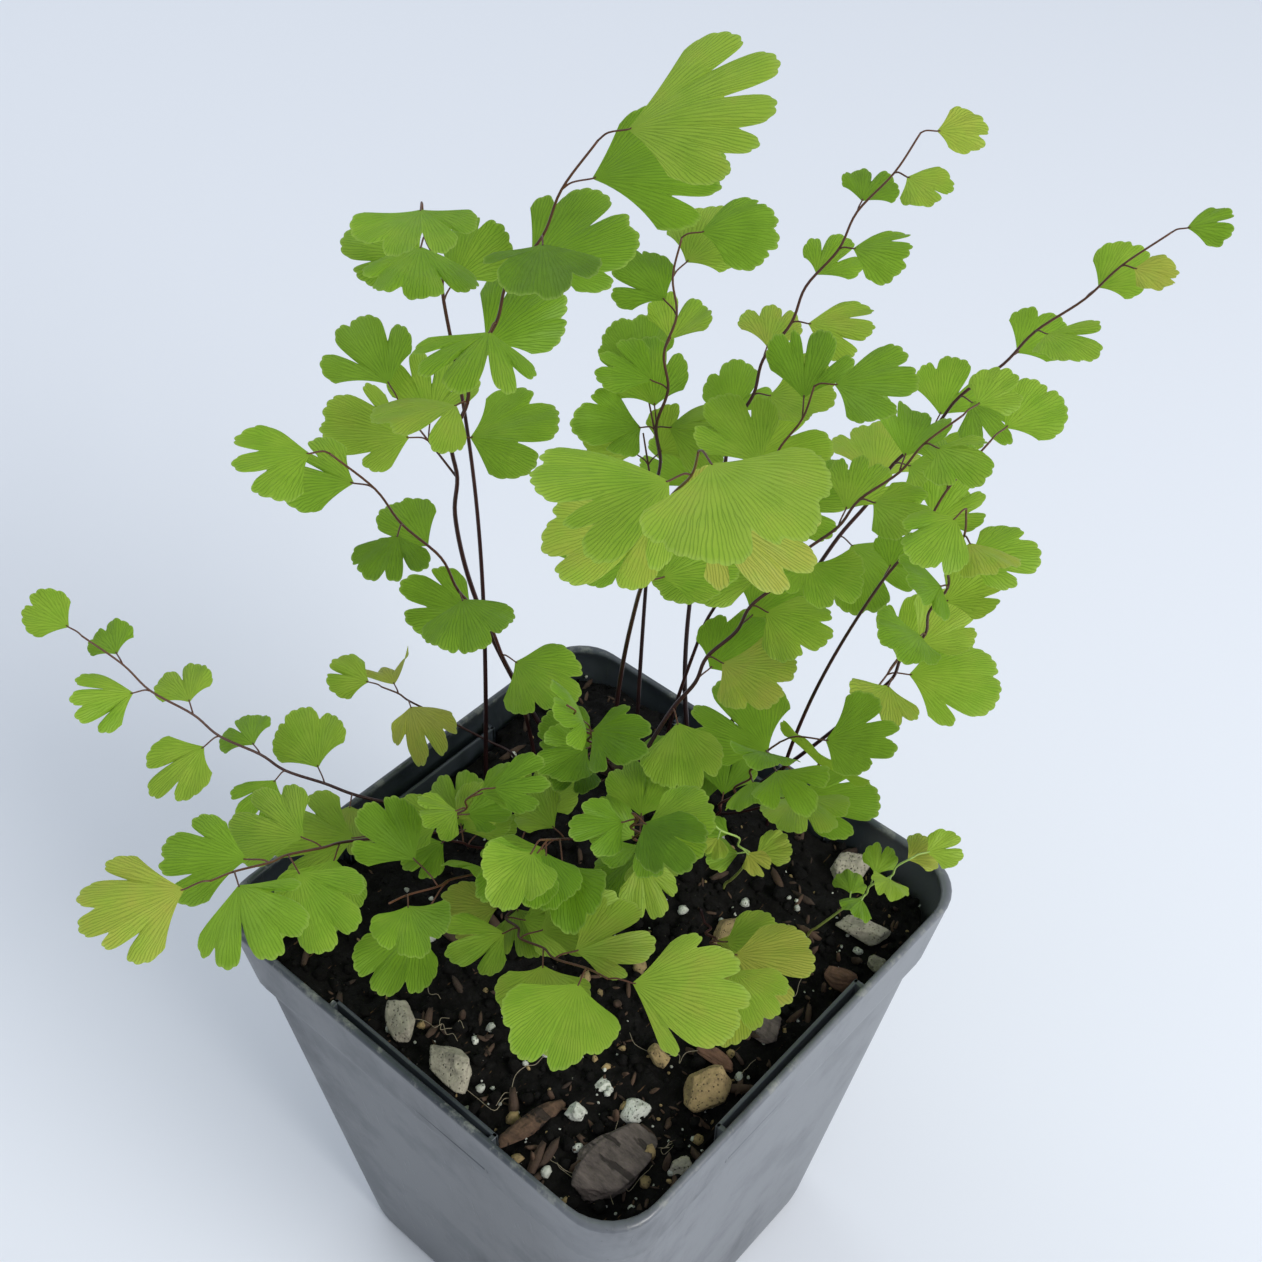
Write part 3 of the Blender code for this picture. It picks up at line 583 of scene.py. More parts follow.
def pot_profile():
    """Half widths, heights and corner radii: up the outside, over the rolled lip and down the inside."""
    band, foot = POT_HEIGHT - RIM_DEPTH, BASE_SIDE / 2
    flare = POT_SIDE - side_at(POT_HEIGHT)
    outer, inner = CORNER_RADIUS, CORNER_RADIUS - WALL
    rows = [(0, 0.9, 0), (16, 0.9, 0), (foot - 6, 0.9, 3), (foot - 5.2, 0, 3)]
    rows += [(foot - 1.5, 0, 8.5), (foot - 0.4, 0.3, 9.6), (foot, 1.3, outer)]
    rows += [(side_at(z) / 2, z, outer) for z in np.linspace(4, band - 0.4, 22)]
    shoulder = side_at(band) / 2 + flare / 2
    rows += [(side_at(band) / 2 + 0.1, band, outer), (shoulder - 0.2, band + 0.35, outer)]
    rows.append((shoulder, band + 0.9, outer))
    lower, upper = np.array(rows[-1][:2]), np.array([POT_SIDE / 2 - 0.25, POT_HEIGHT - 2.2])
    rows += [(*(lower + (upper - lower) * share), outer) for share in np.linspace(0.1, 1, 7)]
    lip, edge = 0.75, POT_SIDE / 2
    for turn in np.linspace(-0.1, 1.1, 9) * math.pi:
        rows.append((edge - lip + lip * math.cos(turn), POT_HEIGHT - lip + lip * math.sin(turn), outer))
    inside = [(half - WALL, z, inner) for half, z, _ in rows[-10:3:-1] if z > 3.5 and abs(z - band) > 1.2]
    return rows + inside + [(foot - 2, 1.6, 8), (16, 1.6, 0), (0, 1.6, 0)]


def ring_stack(rows, corner_steps=8, side_steps=24):
    """A body of rounded-square rings, one for each row of half width, height and corner radius."""
    rings = []
    for half, z, radius in rows:
        outline = rounded_outline(2 * half, 2 * half, min(radius, half), corner_steps, side_steps)
        rings.append(np.column_stack([outline, np.full(len(outline), z)]))
    return np.stack(rings)


def slab(size, centre, rounding=0.15):
    """A flat bar with softened edges: rounded outlines drawn in at the bottom and the top."""
    insets = [min(size[:2]) / 2 - 0.001, rounding, 0]
    rings = []
    for height, inset in zip([-0.5] * 3 + [0.5] * 3, insets + insets[::-1]):
        width, depth = size[0] - 2 * inset, size[1] - 2 * inset
        ring = rounded_outline(width, depth, 0.3 * min(width, depth), 3, 2)
        lift = height * (size[2] - (0 if inset else 2 * rounding))
        rings.append(np.column_stack([ring, np.full(len(ring), lift)]))
    points = np.stack(rings) + centre
    return surface(points, grid_quads(len(rings), points.shape[1], closed=True))


def pocket(side):
    """The shallow slot inside one wall: an inner strip, two ends and a floor."""
    top = POT_HEIGHT - POCKET_TOP
    strip = POCKET_SPAN[1] - SLOT_SPAN[1]
    middle, depth = sum(POCKET_SPAN) / 2, POCKET_SPAN[1] - POCKET_SPAN[0]
    parts = [((POCKET_LENGTH, strip, POCKET_DEPTH), (0, SLOT_SPAN[1] + strip / 2, top - POCKET_DEPTH / 2)),
             ((POCKET_LENGTH, depth, WALL), (0, middle, top - POCKET_DEPTH + WALL / 2))]
    parts += [((WALL, depth, POCKET_DEPTH), (x, middle, top - POCKET_DEPTH / 2))
              for x in (-POCKET_LENGTH / 2 + WALL / 2, POCKET_LENGTH / 2 - WALL / 2)]
    patches = [slab(size, np.array(centre) + [0, WALL - POT_SIDE / 2, 0]) for size, centre in parts]
    for patch in patches:
        patch["points"] = patch["points"] @ about_z(math.pi / 2 * side)
    return patches


def cut_drain_holes(pot):
    """Four round holes through the floor, by a Boolean whose result becomes the pot's mesh."""
    across = BASE_SIDE / 3.4
    angle = np.linspace(0, 2 * math.pi, 40, endpoint=False)
    drills = []
    for x, y in CORNERS:
        rings = [np.stack([x * across + r * np.cos(angle), y * across + r * np.sin(angle), 0 * angle + z], -1)
                 for r, z in ((0.0, -2), (HOLE_RADIUS, -2), (HOLE_RADIUS, 3), (0.0, 3))]
        drills.append(surface(rings, grid_quads(4, 40, closed=True)))
    drill = piece("drill", drills, [PLASTIC])
    hole = pot.modifiers.new("drain_holes", "BOOLEAN")
    hole.operation, hole.solver, hole.object = "DIFFERENCE", "EXACT", drill
    bpy.context.view_layer.update()
    cut = bpy.data.meshes.new_from_object(pot.evaluated_get(bpy.context.evaluated_depsgraph_get()))
    pot.modifiers.clear()
    pot.data = cut
    bpy.data.objects.remove(drill)


def add_pot():
    rings = ring_stack(pot_profile())
    bow = 1 - 0.005 * np.cos(rings[..., :2].sum(-1) / 40)[..., None] * (rings[..., 2:] > 5)
    bowed = rings * np.concatenate([bow, bow, np.ones_like(bow)], -1)
    body = surface(bowed, grid_quads(*rings.shape[:2], closed=True))
    pot = piece("pot_body", [body], [PLASTIC], ["pot"])
    cut_drain_holes(pot)
    piece("pot_pockets", [part for side in range(4) for part in pocket(side)], [PLASTIC])


# ---- soil and what lies on it ----

def plant_xy(points):
    """Row-frame places as the plant's frame sees them."""
    cos, sin = math.cos(PLANT_TURN), math.sin(PLANT_TURN)
    return points[..., 0] * cos + points[..., 1] * sin, -points[..., 0] * sin + points[..., 1] * cos


def add_soil():
    """The root ball: rounded-square rings over its rough top, with a dip at each pocket, then its sides."""
    top_side = side_at(POT_HEIGHT - RIM_DEPTH) + 2 * RIM_STEP - 2 * WALL - 0.9
    outline = rounded_outline(top_side, top_side, CORNER_RADIUS - WALL, 14, 126)
    flat = np.linspace(0, 1, 138)[:, None, None] * outline
    height = soil_top(*plant_xy(flat))
    along, inwards = np.sort(np.abs(flat), axis=-1).transpose(2, 0, 1)
    room = (along < POCKET_LENGTH / 2 + 1) & (POT_SIDE / 2 - WALL - inwards < POCKET_SPAN[1] + 1)
    height = np.where(room, np.minimum(height, -POCKET_TOP - POCKET_DEPTH - 1), height)
    top = np.concatenate([flat, height[..., None] + POT_HEIGHT], -1)
    sides = []
    for z in np.linspace(POT_HEIGHT - RIM_DEPTH - 2, 2.4, 20):
        ring = rounded_outline(side_at(z) - 2.9, side_at(z) - 2.9, CORNER_RADIUS - WALL, 14, 126)
        sides.append(np.column_stack([ring, np.full(len(ring), z)]))
    sides.append(sides[-1] * [0, 0, 1])
    rings = np.concatenate([top, np.stack(sides)])
    body = surface(rings, grid_quads(*rings.shape[:2], closed=True)[:, ::-1])
    piece("peat", [body], [PEAT], ["soil_plug"])


def ball(rows, columns):
    """Directions spread over a sphere, from its bottom pole to its top pole."""
    lift = np.linspace(-math.pi / 2, math.pi / 2, rows)[:, None]
    turn = np.linspace(0, 2 * math.pi, columns, endpoint=False)
    x, y = np.cos(lift) * np.cos(turn), np.cos(lift) * np.sin(turn)
    return np.stack(np.broadcast_arrays(x, y, np.sin(lift)), -1)


def chipped(rng, rows, columns, cuts=16, grain=0.06):
    """A broken stone of unit size: a ball cut back by planes at random, then roughened by noise."""
    way = ball(rows, columns)
    planes = unit(rng.normal(size=(cuts, 3)))
    depth = rng.uniform(0.62, 0.95, cuts)
    reach = np.min(depth / np.clip(way @ planes.T, 0.05, None), axis=-1)
    reach = np.minimum(reach, 1.15)
    return way * (reach * (1 + grain * rough(way * 10 + rng.uniform(0, 40, 3), 5, 4)))[..., None]


def add_loose():
    """The large stones and bark chips, each in its CAD solid's place and sunk a little into the soil."""
    rng = np.random.default_rng(21)
    for name, (x, y, length, width, height, turn, colour) in LOOSE.items():
        bark = colour in (GREY_BARK, BROWN_BARK, RED)
        shape = chipped(rng, 40, 60, 12 if bark else 20, 0.05)
        shape = shape / np.abs(shape).max(axis=(0, 1))
        if bark:
            layers = 0.10 * noise(shape * [3, 14, 30], 6) + 0.07 * noise(shape * [2, 40, 60], 6)
            shape = np.sign(shape) * np.abs(shape) ** 0.8 * (1 + layers[..., None] * [0.3, 1, 1])
        points = shape * np.array([length, width, height]) / 2 @ about_z(math.radians(turn))
        points = points + [x, y, soil_height(x, y) + height / 2 - 0.4]
        look = BARK_LOOKS[colour] if bark else STONE_LOOKS[colour]
        patch = surface(to_row_frame(points), grid_quads(40, 60, closed=True), tone=rng.uniform(0, 1))
        piece(f"{name}_piece", [patch], [look], [name])


def scatter(rng, count, small, large, shape, spread):
    """Many copies of a small chipped shape, each turned, sized and set on the soil at random."""
    rows, columns = 5, 7
    base = chipped(rng, rows, columns, 7, 0.1)
    place = rng.uniform(-64, 64, (6 * count, 2))
    from_middle = np.abs(place @ about_z(PLANT_TURN)[:2, :2])
    inside = (from_middle < POT_SIDE / 2 - 3.5).all(axis=1)
    low, high = np.sort(from_middle, axis=1).T
    clear = (low > POCKET_LENGTH / 2 + 1.5) | (POT_SIDE / 2 - WALL - high > POCKET_SPAN[1] + 2)
    wanted = rng.uniform(0, 1, len(place)) < spread(place[:, 0], place[:, 1])
    place = place[inside & clear & wanted][:count]
    count = len(place)
    size = small * (large / small) ** (rng.uniform(0, 1, (count, 1, 1)) ** 2.2) / 2
    turns = unit(rng.normal(size=(count, 4)))
    w, x, y, z = turns.T
    spin = np.array([[1 - 2 * (y * y + z * z), 2 * (x * y - w * z), 2 * (x * z + w * y)],
                     [2 * (x * y + w * z), 1 - 2 * (x * x + z * z), 2 * (y * z - w * x)],
                     [2 * (x * z - w * y), 2 * (y * z + w * x), 1 - 2 * (x * x + y * y)]]).transpose(2, 0, 1)
    lumps = base.reshape(1, -1, 3) * size * np.array(shape) @ spin
    ground = soil_top(place[:, 0], place[:, 1])
    points = lumps + np.column_stack([place, ground + 0.25 * size[:, 0, 0]])[:, None]
    quads = grid_quads(rows, columns, closed=True)
    quads = (quads[None] + rows * columns * np.arange(count)[:, None, None]).reshape(-1, 4)
    made = surface(to_row_frame(points.reshape(-1, 3)), quads)
    made["tone"] = np.repeat(rng.uniform(0, 1, count), rows * columns)
    return made


def front_weight(x, y):
    """More towards the viewer's corner and the right, where the soil has settled to its coarse bits."""
    return np.clip(0.35 - 0.012 * y + 0.004 * x, 0.12, 1)


def everywhere(x, y):
    return np.ones_like(x)


def add_litter():
    """Crumbs of peat, slivers of bark, grains of perlite and pale grit."""
    rng = np.random.default_rng(8)
    for name, look, *measures in (
        ("peat_crumbs", PEAT, 1500, 0.6, 3.6, (1, 1, 0.8), everywhere),
        ("bark_slivers", SLIVER, 300, 0.5, 2.3, (3.2, 1, 0.7), front_weight),
        ("perlite_grains", STONE_LOOKS[PERLITE], 190, 0.45, 2.4, (1, 0.9, 0.8), front_weight),
        ("pale_grit", STONE_LOOKS[TAN], 110, 0.6, 3.2, (1.2, 1, 0.8), front_weight),
    ):
        piece(name, [scatter(rng, *measures)], [look])


def add_root_threads():
    """Fine pale roots that lie on the soil: loops and wisps at random."""
    rng = np.random.default_rng(14)
    starts = [(-21, -34), (-14, -44), (-3, -46), (8, -50), (-26, -28), (24, -30), (33, -18), (-36, -12)]
    threads = []
    for x, y in starts * 2:
        steps = rng.normal(0, 1, (9, 2)).cumsum(axis=0)
        flat = np.array([x, y]) + rng.normal(0, 4, 2) + 1.1 * steps
        flat = flat + np.outer(np.arange(9), rng.normal(0, 0.9, 2))
        flat *= np.minimum(1, 58 / np.abs(flat).sum(axis=1))[:, None]
        path = np.column_stack([flat, soil_height(*flat.T) + 1.0 + 0.9 * rng.uniform(0, 1, 9)])
        threads.append(tube(smooth_path(path, 5), 0.055, 5))
        threads[-1]["points"] = to_row_frame(threads[-1]["points"])
    piece("root_threads", threads, [ROOT])


def add_crown():
    """The rhizome: a knotted lump with short dark scales all over it."""
    rng = np.random.default_rng(11)
    low, high = (np.array(corner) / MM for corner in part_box("crown"))
    shape = chipped(rng, 60, 90, 30, 0.16)
    shape = shape / np.abs(shape).max(axis=(0, 1))
    spin, middle = about_z(CROWN_TURN), (low + high) / 2
    points = shape * CROWN_HALF_SIZE @ spin + middle
    body = surface(points, grid_quads(60, 90, closed=True))
    foot = unit(rng.normal(size=(150, 3)) + [0, 0, 0.8])
    hairs = []
    for way in foot:
        root = way * CROWN_HALF_SIZE * 0.9 @ spin + middle
        lean = unit(way * [0.4, 0.5, 1] + rng.normal(0, 0.4, 3))
        hairs.append(tube(np.array([root, root + 0.8 * lean, root + 1.7 * lean]), [0.16, 0.12, 0.04], 4))
    piece("rhizome", [body] + hairs, [RHIZOME], ["crown"])


# ---- materials ----

def feed(tree, inputs, feeds):
    """Sets inputs to values, or links them from other nodes' outputs."""
    for key, value in feeds.items():
        if isinstance(value, bpy.types.NodeSocket):
            tree.links.new(value, inputs[key])
        else:
            inputs[key].default_value = value


def plug(tree, shader, **feeds):
    """Feeds the shader's inputs, named with underscores for spaces."""
    feed(tree, shader.inputs, {key.replace("_", " "): value for key, value in feeds.items()})


def node(tree, kind, feeds=None, **settings):
    """A new node with its settings and what feeds its inputs."""
    made = tree.nodes.new(f"ShaderNode{kind}")
    for key, value in settings.items():
        setattr(made, key, value)
    feed(tree, made.inputs, feeds or {})
    return made


def reckon(tree, operation, *values):
    """One step of arithmetic."""
    return node(tree, "Math", dict(enumerate(values)), operation=operation).outputs[0]


def between(tree, value, low, high, start=0.0, end=1.0):
    """A value eased from start to end as another goes from low to high."""
    feeds = {"Value": value, "From Min": low, "From Max": high, "To Min": start, "To Max": end}
    return node(tree, "MapRange", feeds, interpolation_type="SMOOTHSTEP").outputs[0]


def blend_colours(tree, share, first, second):
    """The second colour laid over the first by a share."""
    colours = [(*colour, 1) if isinstance(colour, tuple) else colour for colour in (first, second)]
    return node(tree, "Mix", {0: share, 6: colours[0], 7: colours[1]}, data_type="RGBA").outputs[2]


def ramp(tree, share, *colours):
    """Colours spread evenly from 0 to 1."""
    made = node(tree, "ValToRGB", {0: share})
    stops = made.color_ramp.elements
    for _ in colours[2:]:
        stops.new(0.5)
    for i, colour in enumerate(colours):
        stops[i].position = i / (len(colours) - 1)
        stops[i].color = (*colour, 1)
    return made.outputs[0]


def mottle(tree, vector, scale, detail=4.0, roughness=0.6, stretch=None):
    """Noise from 0 to 1, about scale features to the metre, drawn out by stretch."""
    if stretch:
        vector = node(tree, "Mapping", {"Vector": vector, "Scale": stretch}).outputs[0]
    feeds = {"Vector": vector, "Scale": scale, "Detail": detail, "Roughness": roughness}
    return node(tree, "TexNoise", feeds).outputs[0]


def bump(tree, height, depth, strength=1.0):
    """A normal from a height, in metres."""
    return node(tree, "Bump", {"Height": height, "Distance": depth, "Strength": strength}).outputs[0]


def group(name, inputs, outputs):
    """An empty node group with named inputs and outputs, each with its socket kind."""
    made = bpy.data.node_groups.new(name, "ShaderNodeTree")
    for label, kind in inputs.items():
        made.interface.new_socket(label, in_out="INPUT", socket_type=f"NodeSocket{kind}")
    for label, kind in outputs.items():
        made.interface.new_socket(label, in_out="OUTPUT", socket_type=f"NodeSocket{kind}")
    return made, made.nodes.new("NodeGroupInput"), made.nodes.new("NodeGroupOutput")


def new_look(name):
    """A material with its Principled shader, and the object's own coordinates."""
    look = bpy.data.materials.new(name)
    look.use_nodes = True
    tree = look.node_tree
    return look, tree, tree.nodes["Principled BSDF"], tree.nodes.new("ShaderNodeTexCoord").outputs["Object"]


def make_veins():
    """Forking veins on a fan. Each line starts at the base and splits in two, and both halves split again:
    the distance from the nearest line is |frac(u) - 1/2|, less its first spread, folded again for the second."""
    shared, start, end = group("forking_veins", {"Fan": "Vector"}, {"Vein": "Float", "Share": "Float"})
    parts = node(shared, "SeparateXYZ", {0: start.outputs["Fan"]})
    wander = mottle(shared, start.outputs["Fan"], 2.5, 2.0)
    across = reckon(shared, "ADD", reckon(shared, "MULTIPLY", parts.outputs[0], 3.6),
                    reckon(shared, "MULTIPLY", wander, 0.8))
    share = parts.outputs[1]
    line = reckon(shared, "ABSOLUTE", reckon(shared, "SUBTRACT", reckon(shared, "FRACT", across), 0.5))
    for low, high, spread in ((0.1, 0.5, 0.25), (0.4, 0.85, 0.125)):
        gap = between(shared, share, low, high, 0, spread)
        line = reckon(shared, "ABSOLUTE", reckon(shared, "SUBTRACT", line, gap))
    width = between(shared, share, 0, 0.6, 0.16, 0.055)
    near = reckon(shared, "DIVIDE", line, width)
    vein = between(shared, near, 0.25, 1.0, 1.0, 0.0)
    shared.links.new(vein, end.inputs["Vein"])
    shared.links.new(share, end.inputs["Share"])
    return shared


def make_leaf():
    look, tree, shader, place = new_look("fern_leaf")
    fan = node(tree, "UVMap", uv_map="fan").outputs[0]
    veins = node(tree, "Group", {"Fan": fan}, node_tree=VEINS)
    vein, share = veins.outputs["Vein"], veins.outputs["Share"]
    tone = node(tree, "Attribute", attribute_name="tone").outputs["Fac"]
    age = node(tree, "Attribute", attribute_name="age").outputs["Fac"]
    yellowing = reckon(tree, "SUBTRACT", tone, 0.25)
    patchy = reckon(tree, "MULTIPLY_ADD", mottle(tree, place, 160, 3), 0.5, yellowing)
    green = ramp(tree, patchy, (0.075, 0.17, 0.012), (0.15, 0.30, 0.018), (0.21, 0.39, 0.028),
                 (0.32, 0.47, 0.05), (0.42, 0.43, 0.07))
    depth = between(tree, mottle(tree, place, 70, 2), 0.35, 0.65, 0.12, 0.4)
    green = blend_colours(tree, reckon(tree, "MULTIPLY", vein, depth), green, (0.06, 0.16, 0.012))
    edge = reckon(tree, "MULTIPLY", between(tree, share, 0.95, 1.0), 0.35)
    green = blend_colours(tree, edge, green, (0.42, 0.56, 0.13))
    blotch = reckon(tree, "ADD", mottle(tree, place, 210, 5, 0.65), reckon(tree, "MULTIPLY", share, 0.08))
    brown = reckon(tree, "MULTIPLY", between(tree, reckon(tree, "MULTIPLY", age, blotch), 0.4, 0.5), 0.85)
    colour = blend_colours(tree, brown, green, (0.13, 0.055, 0.018))
    through = blend_colours(tree, 0.35, colour, (0.5, 0.72, 0.03))
    through = blend_colours(tree, brown, through, (0.12, 0.05, 0.02))
    sunk = reckon(tree, "MULTIPLY", vein, -0.7)
    height = reckon(tree, "MULTIPLY_ADD", mottle(tree, place, 900, 3), 0.5, sunk)
    sheen = between(tree, mottle(tree, place, 120, 3), 0.3, 0.7, 0.42, 0.62)
    normal = bump(tree, height, 0.00012, 0.8)
    plug(tree, shader, Base_Color=colour, Roughness=sheen, Normal=normal, IOR=1.4, Specular_IOR_Level=0.35)
    glow = node(tree, "BsdfTranslucent", {"Color": through, "Normal": normal})
    both = node(tree, "MixShader", {0: 0.42, 1: shader.outputs[0], 2: glow.outputs[0]})
    tree.links.new(both.outputs[0], tree.nodes["Material Output"].inputs["Surface"])
    return look


def make_stem():
    look, tree, shader, place = new_look("fern_stem")
    tone = node(tree, "Attribute", attribute_name="tone").outputs["Fac"]
    greening = reckon(tree, "SUBTRACT", tone, 0.1)
    patchy = reckon(tree, "MULTIPLY_ADD", mottle(tree, place, 300, 3), 0.2, greening)
    colour = ramp(tree, patchy, (0.010, 0.005, 0.007), (0.050, 0.016, 0.014), (0.13, 0.055, 0.025),
                  (0.16, 0.16, 0.04), (0.34, 0.50, 0.12))
    plug(tree, shader, Base_Color=colour, Roughness=0.34, Specular_IOR_Level=0.3,
         Normal=bump(tree, mottle(tree, place, 2500, 2, stretch=(1, 1, 0.15)), 0.0001, 0.4))
    return look


def make_scuffs():
    """Handling marks on moulded plastic: long scratches, smudges, fine specks and long drag streaks."""
    shared, start, end = group("handling_marks", {"Place": "Vector"},
                               {"Scratches": "Float", "Smudges": "Float", "Specks": "Float", "Drag": "Float"})
    place = start.outputs["Place"]
    fine = mottle(shared, place, 900, 3, 0.7, stretch=(1, 1, 0.06))
    long = mottle(shared, place, 260, 2, 0.5, stretch=(0.12, 0.12, 1))
    shared.links.new(between(shared, fine, 0.60, 0.72), end.inputs["Scratches"])
    shared.links.new(between(shared, long, 0.62, 0.75), end.inputs["Drag"])
    shared.links.new(between(shared, mottle(shared, place, 45, 6, 0.65), 0.45, 0.68), end.inputs["Smudges"])
    shared.links.new(between(shared, mottle(shared, place, 1400, 2, 0.5), 0.74, 0.80), end.inputs["Specks"])
    return shared


def make_plastic():
    look, tree, shader, place = new_look("black_pot_plastic")
    marks = node(tree, "Group", {"Place": place}, node_tree=SCUFFS).outputs
    across, _, height = node(tree, "SeparateXYZ", {0: place}).outputs
    base = blend_colours(tree, marks["Smudges"], (0.034, 0.042, 0.052), (0.050, 0.060, 0.070))
    # Painted sheen: towards +X, the side that faces the window, the colour is blended to a paler blue-grey that
    # stands in for the light and reflection on that face.
    base = blend_colours(tree, between(tree, across, 24 * MM, 44 * MM), base, (0.115, 0.125, 0.140))
    pale, dark = (0.085, 0.095, 0.105), (0.012, 0.013, 0.014)
    base = blend_colours(tree, reckon(tree, "MULTIPLY", marks["Scratches"], 0.35), base, pale)
    base = blend_colours(tree, reckon(tree, "MULTIPLY", marks["Specks"], 0.8), base, dark)
    brushed = between(tree, mottle(tree, place, 34, 5, 0.7, stretch=(1, 1, 0.45)), 0.5, 0.7)
    brushed = reckon(tree, "MULTIPLY", brushed, reckon(tree, "MULTIPLY_ADD", marks["Drag"], 0.45, 0.5))
    base = blend_colours(tree, brushed, base, (0.014, 0.018, 0.026))
    near_lip = between(tree, height, (POT_HEIGHT - 2.2) * MM, (POT_HEIGHT - 0.2) * MM)
    dust = reckon(tree, "MULTIPLY", near_lip, between(tree, mottle(tree, place, 230, 6, 0.75), 0.5, 0.66))
    base = blend_colours(tree, reckon(tree, "MULTIPLY", dust, 0.6), base, (0.26, 0.27, 0.24))
    rough_by = reckon(tree, "MULTIPLY_ADD", marks["Smudges"], 0.12, 0.34)
    rough_by = reckon(tree, "MULTIPLY_ADD", dust, 0.3, rough_by)
    grain = reckon(tree, "MULTIPLY_ADD", mottle(tree, place, 1800, 3), 0.35, marks["Scratches"])
    shine = reckon(tree, "MULTIPLY_ADD", brushed, -0.45, 0.74)
    plug(tree, shader, Base_Color=base, Roughness=rough_by, Specular_IOR_Level=shine,
         Normal=bump(tree, grain, 0.00006, 0.5))
    return look


def make_peat():
    look, tree, shader, place = new_look("dark_peat")
    grain = mottle(tree, place, 700, 8, 0.7)
    colour = ramp(tree, grain, (0.001, 0.001, 0.001), (0.002, 0.0018, 0.0015), (0.005, 0.004, 0.0034),
                  (0.02, 0.0145, 0.010))
    fibre = between(tree, mottle(tree, place, 1600, 2, 0.5, stretch=(1, 0.1, 1)), 0.70, 0.76)
    colour = blend_colours(tree, reckon(tree, "MULTIPLY", fibre, 0.7), colour, (0.16, 0.09, 0.045))
    pale = between(tree, mottle(tree, place, 1500, 3, 0.5), 0.74, 0.79)
    colour = blend_colours(tree, pale, colour, (0.45, 0.44, 0.38))
    damp = between(tree, mottle(tree, place, 400, 4), 0.4, 0.7, 0.95, 0.55)
    plug(tree, shader, Base_Color=colour, Roughness=damp, Specular_IOR_Level=0.2,
         Normal=bump(tree, grain, 0.0009, 0.9))
    return look


def shaded(colour, share):
    return tuple(part * share for part in colour)


def make_stone(name, colour):
    """A gritty stone: its own colour broken by darker stains and paler crystals, with small pits darkened by
    painted shade.
    """
    look, tree, shader, place = new_look(name)
    dark, light = shaded(colour, 0.42), shaded(colour, 1.3)
    grain = mottle(tree, place, 420, 8, 0.7)
    body = ramp(tree, grain, dark, dark, colour, light, light)
    stain = between(tree, mottle(tree, place, 190, 5, 0.7), 0.5, 0.68)
    body = blend_colours(tree, reckon(tree, "MULTIPLY", stain, 0.65), body, shaded(colour, 0.3))
    pits = node(tree, "TexVoronoi", {"Vector": place, "Scale": 1500.0}).outputs["Distance"]
    # Painted shade: the colour goes nearly black towards each pit's middle, where the bump sinks the surface.
    body = blend_colours(tree, between(tree, pits, 0.28, 0.1, 0, 0.75), body, (0.03, 0.025, 0.018))
    height = reckon(tree, "MULTIPLY_ADD", between(tree, pits, 0.0, 0.35), 0.5, grain)
    plug(tree, shader, Base_Color=body, Roughness=0.88, Normal=bump(tree, height, 0.0007, 0.9))
    return look


def make_bark(name, colour):
    """Weathered bark: long fibres, and cracks between layers that are darkened with painted shade."""
    look, tree, shader, place = new_look(name)
    fibres = mottle(tree, place, 700, 6, 0.7, stretch=(0.35, 1, 1.4))
    dark, light = shaded(colour, 0.35), shaded(colour, 1.6)
    body = ramp(tree, fibres, dark, dark, colour, light)
    crack = between(tree, mottle(tree, place, 380, 3, 0.5, stretch=(0.3, 1, 1)), 0.42, 0.36)
    # Painted shade: the colour goes nearly black in the cracks, where the bump sinks the surface.
    body = blend_colours(tree, reckon(tree, "MULTIPLY", crack, 0.8), body, (0.015, 0.01, 0.007))
    height = reckon(tree, "SUBTRACT", fibres, reckon(tree, "MULTIPLY", crack, 0.6))
    plug(tree, shader, Base_Color=body, Roughness=0.85, Normal=bump(tree, height, 0.0008, 0.9))
    return look


def make_plain_earthy(name, dark, light, roughness):
    look, tree, shader, place = new_look(name)
    tone = node(tree, "Attribute", attribute_name="tone").outputs["Fac"]
    patchy = reckon(tree, "MULTIPLY", mottle(tree, place, 900, 4), 0.5)
    share = reckon(tree, "MULTIPLY_ADD", tone, 0.6, patchy)
    plug(tree, shader, Base_Color=ramp(tree, share, dark, light), Roughness=roughness,
         Normal=bump(tree, mottle(tree, place, 1500, 4), 0.0004, 0.7))
    return look


# ---- what stands round it ----

def add_floor():
    look, tree, shader, place = new_look("pale_floor")
    plug(tree, shader, Base_Color=(0.81, 0.84, 0.885, 1), Roughness=0.7, Specular_IOR_Level=0.2)
    mesh = bpy.data.meshes.new("floor")
    mesh.from_pydata([(4 * x, 4 * y, -0.0005) for x, y in CORNERS], [], [(0, 1, 2, 3)])
    mesh.materials.append(look)
    placed("floor", mesh)


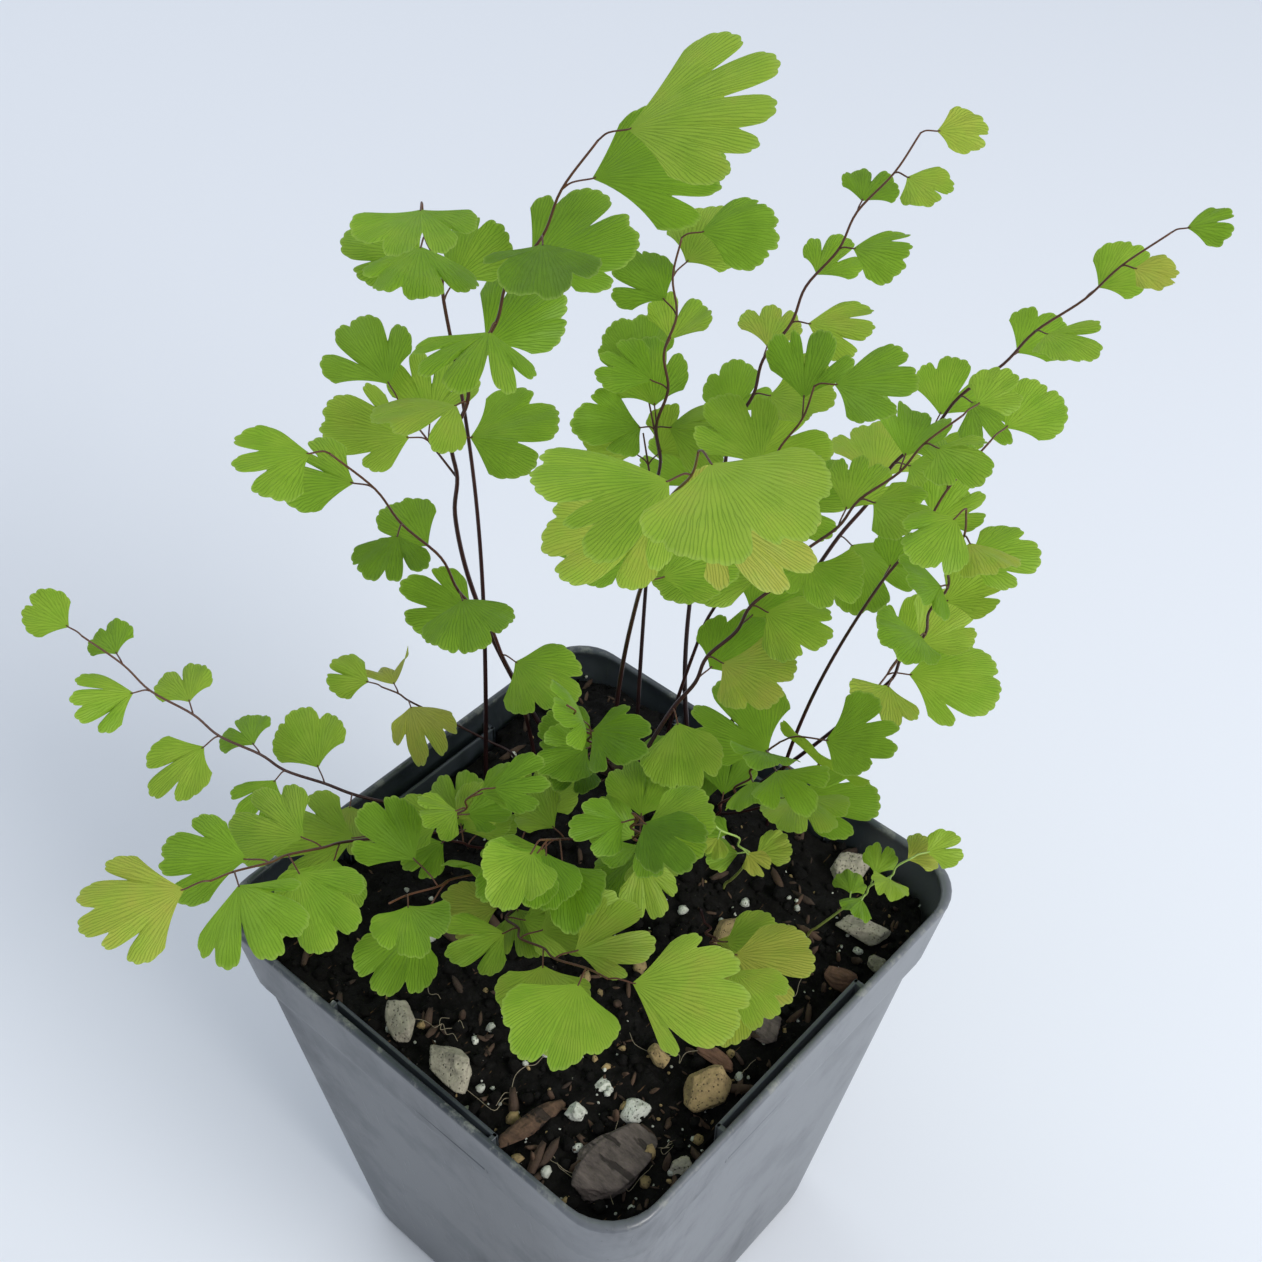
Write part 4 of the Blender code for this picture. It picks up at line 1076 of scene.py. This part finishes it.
def add_light(name, place, size, power, colour):
    """A round area light that faces the pot."""
    light = bpy.data.lights.new(name, "AREA")
    light.shape, light.size, light.energy, light.color = "DISK", size, power, colour
    obj = placed(name, light)
    obj.location = place
    obj.rotation_euler = (Vector((0, 0, 0.1)) - Vector(place)).to_track_quat("-Z", "Y").to_euler()


def add_surroundings():
    add_floor()
    scene = bpy.context.scene
    scene.world = world = scene.world or bpy.data.worlds.new("world")
    world.use_nodes = True
    sky = world.node_tree.nodes["Background"]
    sky.inputs["Color"].default_value = (0.84, 0.90, 1.0, 1)
    sky.inputs["Strength"].default_value = 0.62
    add_light("window", (1.4, 0.0, 0.95), 0.9, 21, (1.0, 0.98, 0.95))
    add_light("fill", (-1.2, 0.2, 1.3), 1.4, 5, (0.92, 0.96, 1.0))
    scene.view_settings.view_transform = "Standard"
    camera = bpy.data.cameras.new("camera")
    camera.lens, camera.sensor_width, camera.clip_start = LENS, 36, 0.01
    obj = placed("camera", camera)
    heading, down, roll = (math.radians(angle) for angle in CAMERA_TURNS)
    obj.location = CAMERA_PLACE
    facing = Matrix.Rotation(heading - math.pi / 2, 3, "Z") @ Matrix.Rotation(math.pi / 2 - down, 3, "X")
    obj.rotation_euler = (facing @ Matrix.Rotation(roll, 3, "Z")).to_euler()
    scene.camera = obj


VEINS, SCUFFS = make_veins(), make_scuffs()
LEAF, STEM, PLASTIC, PEAT = make_leaf(), make_stem(), make_plastic(), make_peat()
STONE_LOOKS = {colour: make_stone(name, colour)
               for name, colour in (("tan_stone", TAN), ("pale_stone", PALE), ("perlite", PERLITE))}
BARK_LOOKS = {colour: make_bark(name, colour)
              for name, colour in (("grey_bark", GREY_BARK), ("brown_bark", BROWN_BARK), ("red_bark", RED))}
SLIVER = make_plain_earthy("bark_sliver", (0.012, 0.008, 0.006), (0.10, 0.055, 0.032), 0.8)
ROOT = make_plain_earthy("root_thread", (0.2, 0.16, 0.1), (0.42, 0.36, 0.26), 0.7)
RHIZOME = make_plain_earthy("rhizome_scales", (0.012, 0.007, 0.005), (0.07, 0.04, 0.022), 0.85)

add_pot()
add_soil()
add_loose()
add_litter()
add_root_threads()
add_crown()
for name, (stems, leaves) in grown_fronds().items():
    add_frond(name, stems, leaves)
add_surroundings()
